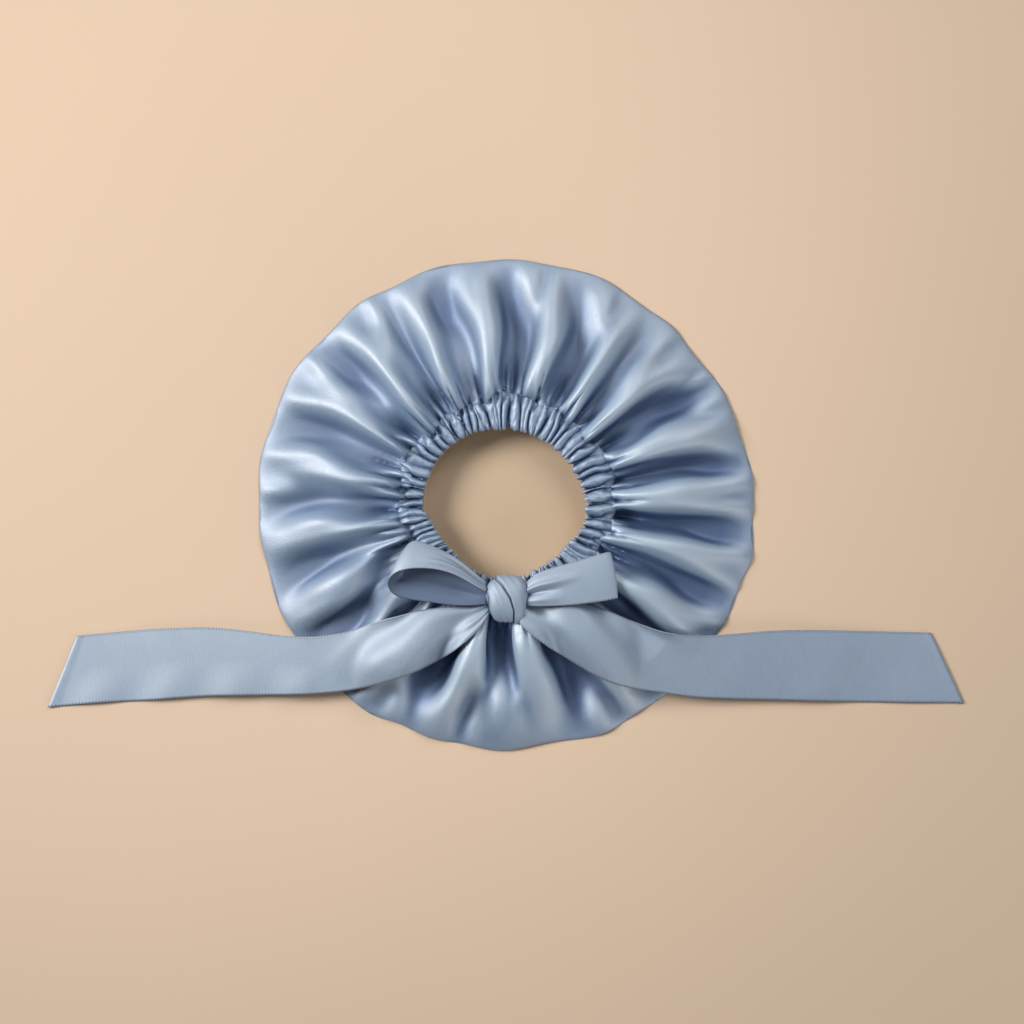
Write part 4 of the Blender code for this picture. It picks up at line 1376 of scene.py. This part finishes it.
TAIL_RIGHT = table(
    "up_x up_y down_x down_y",
    (15.5, -66.5, 5.5, -78), (24, -66, 14.5, -88.6), (35, -66, 28, -98.6),
    (49, -67.4, 45, -109.8), (64, -71.4, 61, -119.4), (78, -77, 76, -126), (92, -83, 92, -130),
    (111, -89.6, 112, -133.2), (134, -92.4, 135, -136.2), (159, -91.4, 160, -137.4),
    (186, -89.2, 187.4, -138.2), (212, -88.6, 214, -139), (240, -89, 244, -139.6),
    (270, -89.8, 281, -140.2), (301.5, -90.6, 324.8, -140.6),
)
TAIL_ROWS, TAIL_COLUMNS = 260, 44
SQUEEZED_MM = 34


def hem_step(from_end_mm):
    """The hem: cloth turned under lies a little higher, up to a stitched dip."""
    raised = HEM_RISE_MM * ease((HEM_MM + HEM_SOFT_MM / 2 - from_end_mm) / HEM_SOFT_MM)
    return raised - STITCH_DIP_MM * bell(from_end_mm - HEM_MM, STITCH_MM)


def tail_points(chart, folds, waves):
    """The tail's upper face. folds holds (place across, width, height) of the lengthwise folds at
    the knot, and waves (from, to, length, height) in mm for those along the lower edge."""
    edges = smooth_through(chart, np.linspace(0, 1, TAIL_ROWS))
    across = np.linspace(0, 1, TAIL_COLUMNS)[None, :]
    flat = edges[:, None, :2] * (1 - across[..., None]) + edges[:, None, 2:] * across[..., None]
    middle = flat[:, TAIL_COLUMNS // 2]
    along = running(np.linalg.norm(np.diff(middle, axis=0), axis=1))[:, None]
    rest = rest_height(flat[..., 0], flat[..., 1])
    out = out_mm(flat)
    arch = look_up(ARCH_MM, out)
    height = 0.5 * (rest + arch + np.hypot(rest - arch, 3 * ease(arch / 2)))
    height = height + RIBBON_WALL_MM + CLEAR_MM
    squeezed = bell(along, SQUEEZED_MM)
    for place, width, tall in folds:
        height = height + tall * squeezed * bell(across - place, width)
    for start, end, length, tall in waves:
        inside = ease((along - start) / 20) * ease((end - along) / 20)
        edge = ease((across - 0.45) / 0.5)
        wave = 0.5 - 0.5 * np.cos(2 * np.pi * (along - start) / length)
        height = height + tall * inside * edge * wave
    camber = CAMBER_MM * (1 - (2 * across - 1) ** 2)
    height = height + camber + hem_step(along[-1] - along + 0 * across)
    return np.concatenate([flat, height[..., None]], axis=2), along


def make_tail(name, node, chart, folds, waves, far_shading):
    """A tail's piece. The last argument is its painted shading out on the table: above 0 a
    painted shade, darker where it faces away from the lamp, and below 0 a painted highlight,
    paler."""
    points, along = tail_points(chart, folds, waves)
    across = np.linspace(0, RIBBON_MM, TAIL_COLUMNS)[None, :]
    flat_map = flat_grid(across, along) * MM
    out = 1 if normals_of(points, False)[..., 2].mean() > 0 else -1
    # Painted shade or highlight out on the table, growing from 60 mm along the tail.
    depth = far_shading * ease((along - 60) / 130) + 0 * across
    wall = RIBBON_WALL_MM * MM
    tail = cloth_wall(name, points * MM, flat_map, wall, RIBBON_SATIN, False, out, painted_shading=depth)
    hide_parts(node)
    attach(tail, "root")


# The left tail is painted paler, a painted highlight, and the right one darker, a painted shade.
make_tail(
    "ribbon_tail_left", "tail_left", TAIL_LEFT,
    ((0.16, 0.16, 2.4), (0.62, 0.12, 1.6), (0.9, 0.1, 1.2)),
    ((120, 330, 46, 1.8),), -0.12,
)
make_tail(
    "ribbon_tail_right", "tail_right", TAIL_RIGHT,
    ((0.12, 0.12, 1.8), (0.52, 0.2, 2.2), (0.88, 0.1, 1.2)),
    ((190, 330, 60, 0.7),), 0.24,
)

# %% [markdown]
# ## The loops
#
# Each loop is the same ribbon, running out of the knot, round and back in. The left one stands
# open, with its shaded inside towards the reader. The right one is pressed flat, with a sharp
# turn at its end. A loop is charted by its two edges, point by point round the turn. The cloth
# swells between them, and is pinched into folds at the knot.

# %% The loops' edges
LOOP_LEFT = table(
    "near_x near_y near_z far_x far_y far_z",
    (-14, -61, 36, -14, -54.5, 35), (-23.5, -55.6, 39.2, -22.5, -47, 35.8),
    (-35, -49.4, 42.4, -34, -37.6, 36.4), (-46.5, -45.6, 44.8, -45.5, -31.2, 37),
    (-58.5, -44.3, 46.4, -55.5, -27.2, 37.4), (-69.5, -45, 46.6, -63.5, -25, 37.4),
    (-78, -47.8, 44.8, -68.6, -27.2, 36.6), (-82.6, -53, 41.6, -70, -30.6, 35.6),
    (-82.2, -58.6, 38.4, -67.6, -35, 34.8), (-77.4, -63.6, 36.4, -62.4, -37, 34.4),
    (-66.5, -66.6, 35.4, -54, -39.6, 34.2), (-52, -68.6, 34.9, -43, -43.4, 34),
    (-36, -70.6, 34.6, -31, -48.6, 33.9), (-23, -70.6, 34.2, -21.5, -54.4, 33.8),
    (-14, -69.6, 33.6, -14, -59, 33.4),
)
LOOP_RIGHT = table(
    "near_x near_y near_z far_x far_y far_z",
    (15.5, -70.8, 35.4, 15, -53.4, 36), (23, -71.2, 37.2, 22.6, -47.6, 38),
    (35, -71, 38.8, 36, -43, 39), (47, -70.2, 39.6, 50, -39.2, 39.2),
    (59, -68.8, 39.6, 61.5, -35.6, 38.8), (70, -67.2, 38.8, 69.8, -33.4, 38),
    (76.6, -65.8, 37.6, 72.4, -33, 37), (78.4, -65.4, 36.4, 73.4, -33, 36),
    (77.6, -65.2, 35.4, 72.6, -33.4, 35.2), (71.6, -65.6, 34.6, 68, -35.2, 34.6),
    (58, -66.6, 34.2, 56, -40.4, 34.2), (38, -68, 34, 38, -47, 34),
    (15.5, -68.6, 33.8, 15, -57.5, 33.8),
)
LOOP_ROWS, LOOP_COLUMNS = 190, 36
# The loops' inner skin is painted dark, as shade inside the loop.
LOOP_INSIDE_SHADE = 0.9
Fold = namedtuple("Fold", "start end place width height")


def loop_points(chart, swell, folds):
    """A loop's grid, and how far along the ribbon each row is. swell is how far the cloth stands
    out between its edges. folds lists bumps that run along the ribbon, with their start and
    end as shares of the way round, their place across it, and width and height."""
    round_it = np.linspace(0, 1, LOOP_ROWS)
    edges = smooth_through(chart, round_it)
    across = np.linspace(0, 1, LOOP_COLUMNS)[None, :, None]
    points = edges[:, None, :3] * (1 - across) + edges[:, None, 3:] * across
    normal = normals_of(points, False)
    normal *= np.sign(normal[LOOP_ROWS // 5, LOOP_COLUMNS // 2, 2])
    belly = swell * ease(round_it * 6) * ease((1 - round_it) * 6)
    offset = belly[:, None] * 4 * across[..., 0] * (1 - across[..., 0])
    for fold in folds:
        reach = ease((round_it - fold.start) / 0.04 + 1) * ease((fold.end - round_it) / 0.16)
        bump = bell(across[..., 0] - fold.place, fold.width)
        offset = offset + fold.height * reach[:, None] * bump
    points = points + offset[..., None] * normal
    steps = np.linalg.norm(np.diff(points, axis=0), axis=2).mean(axis=1)
    return points, running(steps)


def make_loop(name, node, chart, swell, folds):
    """A loop's piece. Part of the ribbon's flat area is pinched into folds by the knot, which
    aren't modelled. Shown is a judgement: the share of the ribbon's flat area that the loop's
    surface stands for."""
    points, along = loop_points(chart, swell, folds)
    across = np.linspace(0, RIBBON_MM, LOOP_COLUMNS)[None, :]
    flat_map, wall = flat_grid(across, along[:, None]) * MM, RIBBON_WALL_MM * MM
    out = 1 if normals_of(points, False)[LOOP_ROWS // 5, LOOP_COLUMNS // 2, 2] > 0 else -1
    loop = cloth_wall(
        name, points * MM, flat_map, wall, RIBBON_SATIN, False, out, inside=LOOP_INSIDE_SHADE
    )
    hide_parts(node)
    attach(loop, "root")


make_loop(
    "bow_left_loop", "bow_loop_left", LOOP_LEFT, 1.6,
    (
        Fold(0.0, 0.34, 0.30, 0.12, 1.4),
        Fold(0.0, 0.26, 0.72, 0.12, -1.2),
        Fold(0.62, 1.0, 0.45, 0.16, 1.6),
    ),
)
make_loop(
    "bow_right_loop", "bow_loop_right", LOOP_RIGHT, 1.2,
    (
        Fold(0.0, 0.30, 0.62, 0.10, 2.2),
        Fold(0.0, 0.22, 0.42, 0.07, -2.2),
        Fold(0.0, 0.24, 0.18, 0.10, 1.2),
        Fold(0.7, 1.0, 0.5, 0.2, 0.4),
    ),
)

# %% [markdown]
# ## The knot
#
# The knot is ribbon wrapped over itself. From above one wrap runs down the left as a narrow
# strip, an oval one lies across the middle, and a wide one comes down on the right over both. It
# is a barrel round the bow's own line. Where one wrap ends over another, it steps down by the
# thickness of the folded ribbon, with a groove along the step that is painted dark, as shade.

# %% The knot's wraps
KNOT_MM = (0.7, -66.8, 31.2)
KNOT_HALF_MM = (15.9, 14.2, 8.6)
KNOT_ROWS, KNOT_COLUMNS = 150, 220
KNOT_ROUND_MM = 80
GROOVE_DEPTH_MM, GROOVE_OFF_MM, GROOVE_HALF_MM = 2.0, 0.2, 0.5
STEP_MM, STRIP_TALL_MM, SLANT_TALL_MM = 1.6, 1.6, 1.9
STRIP_LINE = ((-15.5, 9.0), (-13.0, 2.0), (-12.6, -6.0), (-9.0, -15.0))
SLANT_LINE = ((-10.5, 15.5), (-3.0, 9.0), (2.6, 1.0), (5.2, -7.0), (5.0, -14.0))


def side_of_line(x, y, line):
    """How far x lies to the right of a line from top to bottom, read at the same y."""
    xs, ys = np.transpose(line)
    return x - np.interp(y, ys[::-1], xs[::-1])


def wrap_step(distance, tall):
    """A wrap's edge: the cloth on the far side lies tall higher, and rounds off towards it."""
    return tall * np.sqrt(ease(distance / STEP_MM))


def groove_line(distance):
    """1 along a wrap's edge, and 0 a little way off on both sides."""
    return bell(distance + GROOVE_OFF_MM, GROOVE_HALF_MM)


def knot_points():
    u = np.linspace(-1, 1, KNOT_ROWS)[:, None]
    turn = np.linspace(0, 2 * np.pi, KNOT_COLUMNS, endpoint=False)[None, :]
    size = (1 - np.abs(u) ** 3.2) ** 0.42 * 0.97 + 0.03
    taper = 1 - 0.16 * (1 - np.cos(turn)) / 2
    x = u * KNOT_HALF_MM[0] * taper
    y = np.cos(turn) * KNOT_HALF_MM[1] * size
    z = np.sin(turn) * KNOT_HALF_MM[2] * size
    upper = ease(np.sin(turn) / 0.25)
    strip = side_of_line(x, y, STRIP_LINE)
    slant = side_of_line(x, y, SLANT_LINE)
    grooves = np.maximum(groove_line(strip), groove_line(slant)) * upper
    steps = wrap_step(strip, STRIP_TALL_MM) + wrap_step(slant, SLANT_TALL_MM)
    relief = steps - GROOVE_DEPTH_MM * grooves
    wrinkles = 0.10 * np.sin(1.6 * strip + 0.4 * y) * ease((strip - 1) / 2) * ease((-slant - 1) / 2)
    wrinkles = wrinkles + 0.10 * np.sin(1.1 * slant) * ease((slant - 2) / 3)
    grow = 1 + upper * (relief + wrinkles) / 12
    return np.stack([x + 0 * y, y * grow, z * grow], axis=2) + KNOT_MM, grooves


def make_knot():
    points, grooves = knot_points()
    rows, columns = points.shape[:2]
    round_it = np.linspace(0, RIBBON_MM, rows)[:, None]
    along = np.linspace(0, KNOT_ROUND_MM, columns)[None, :]
    flat_map = flat_grid(round_it, along).reshape(-1, 2) * MM
    flip = normals_of(points, True)[rows // 2, columns // 4, 2] > 0
    quads = grid_faces(rows, columns, True, 0, flip=flip)
    first, last = np.arange(columns), np.arange(columns) + (rows - 1) * columns
    count = rows * columns
    fans = [fan(first, count, not flip), fan(last, count + 1, flip)]
    middles = [points[0].mean(axis=0), points[-1].mean(axis=0)]
    everything = np.concatenate([points.reshape(-1, 3), middles])
    flat_map = np.concatenate([flat_map, flat_map[:1], flat_map[-1:]])
    # The grooves are also painted dark, as shade, through the shading attribute.
    painted_shading = np.concatenate([grooves.ravel(), [0, 0]])
    knot = mesh_object(
        "bow_knot_wraps", everything * MM, quads, flat_map, RIBBON_SATIN, fans, painted_shading
    )
    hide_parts("bow_knot")
    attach(knot, "root")
    print("knot", len(knot.data.polygons), "faces")


make_knot()

# %% Finish
bpy.context.view_layer.update()
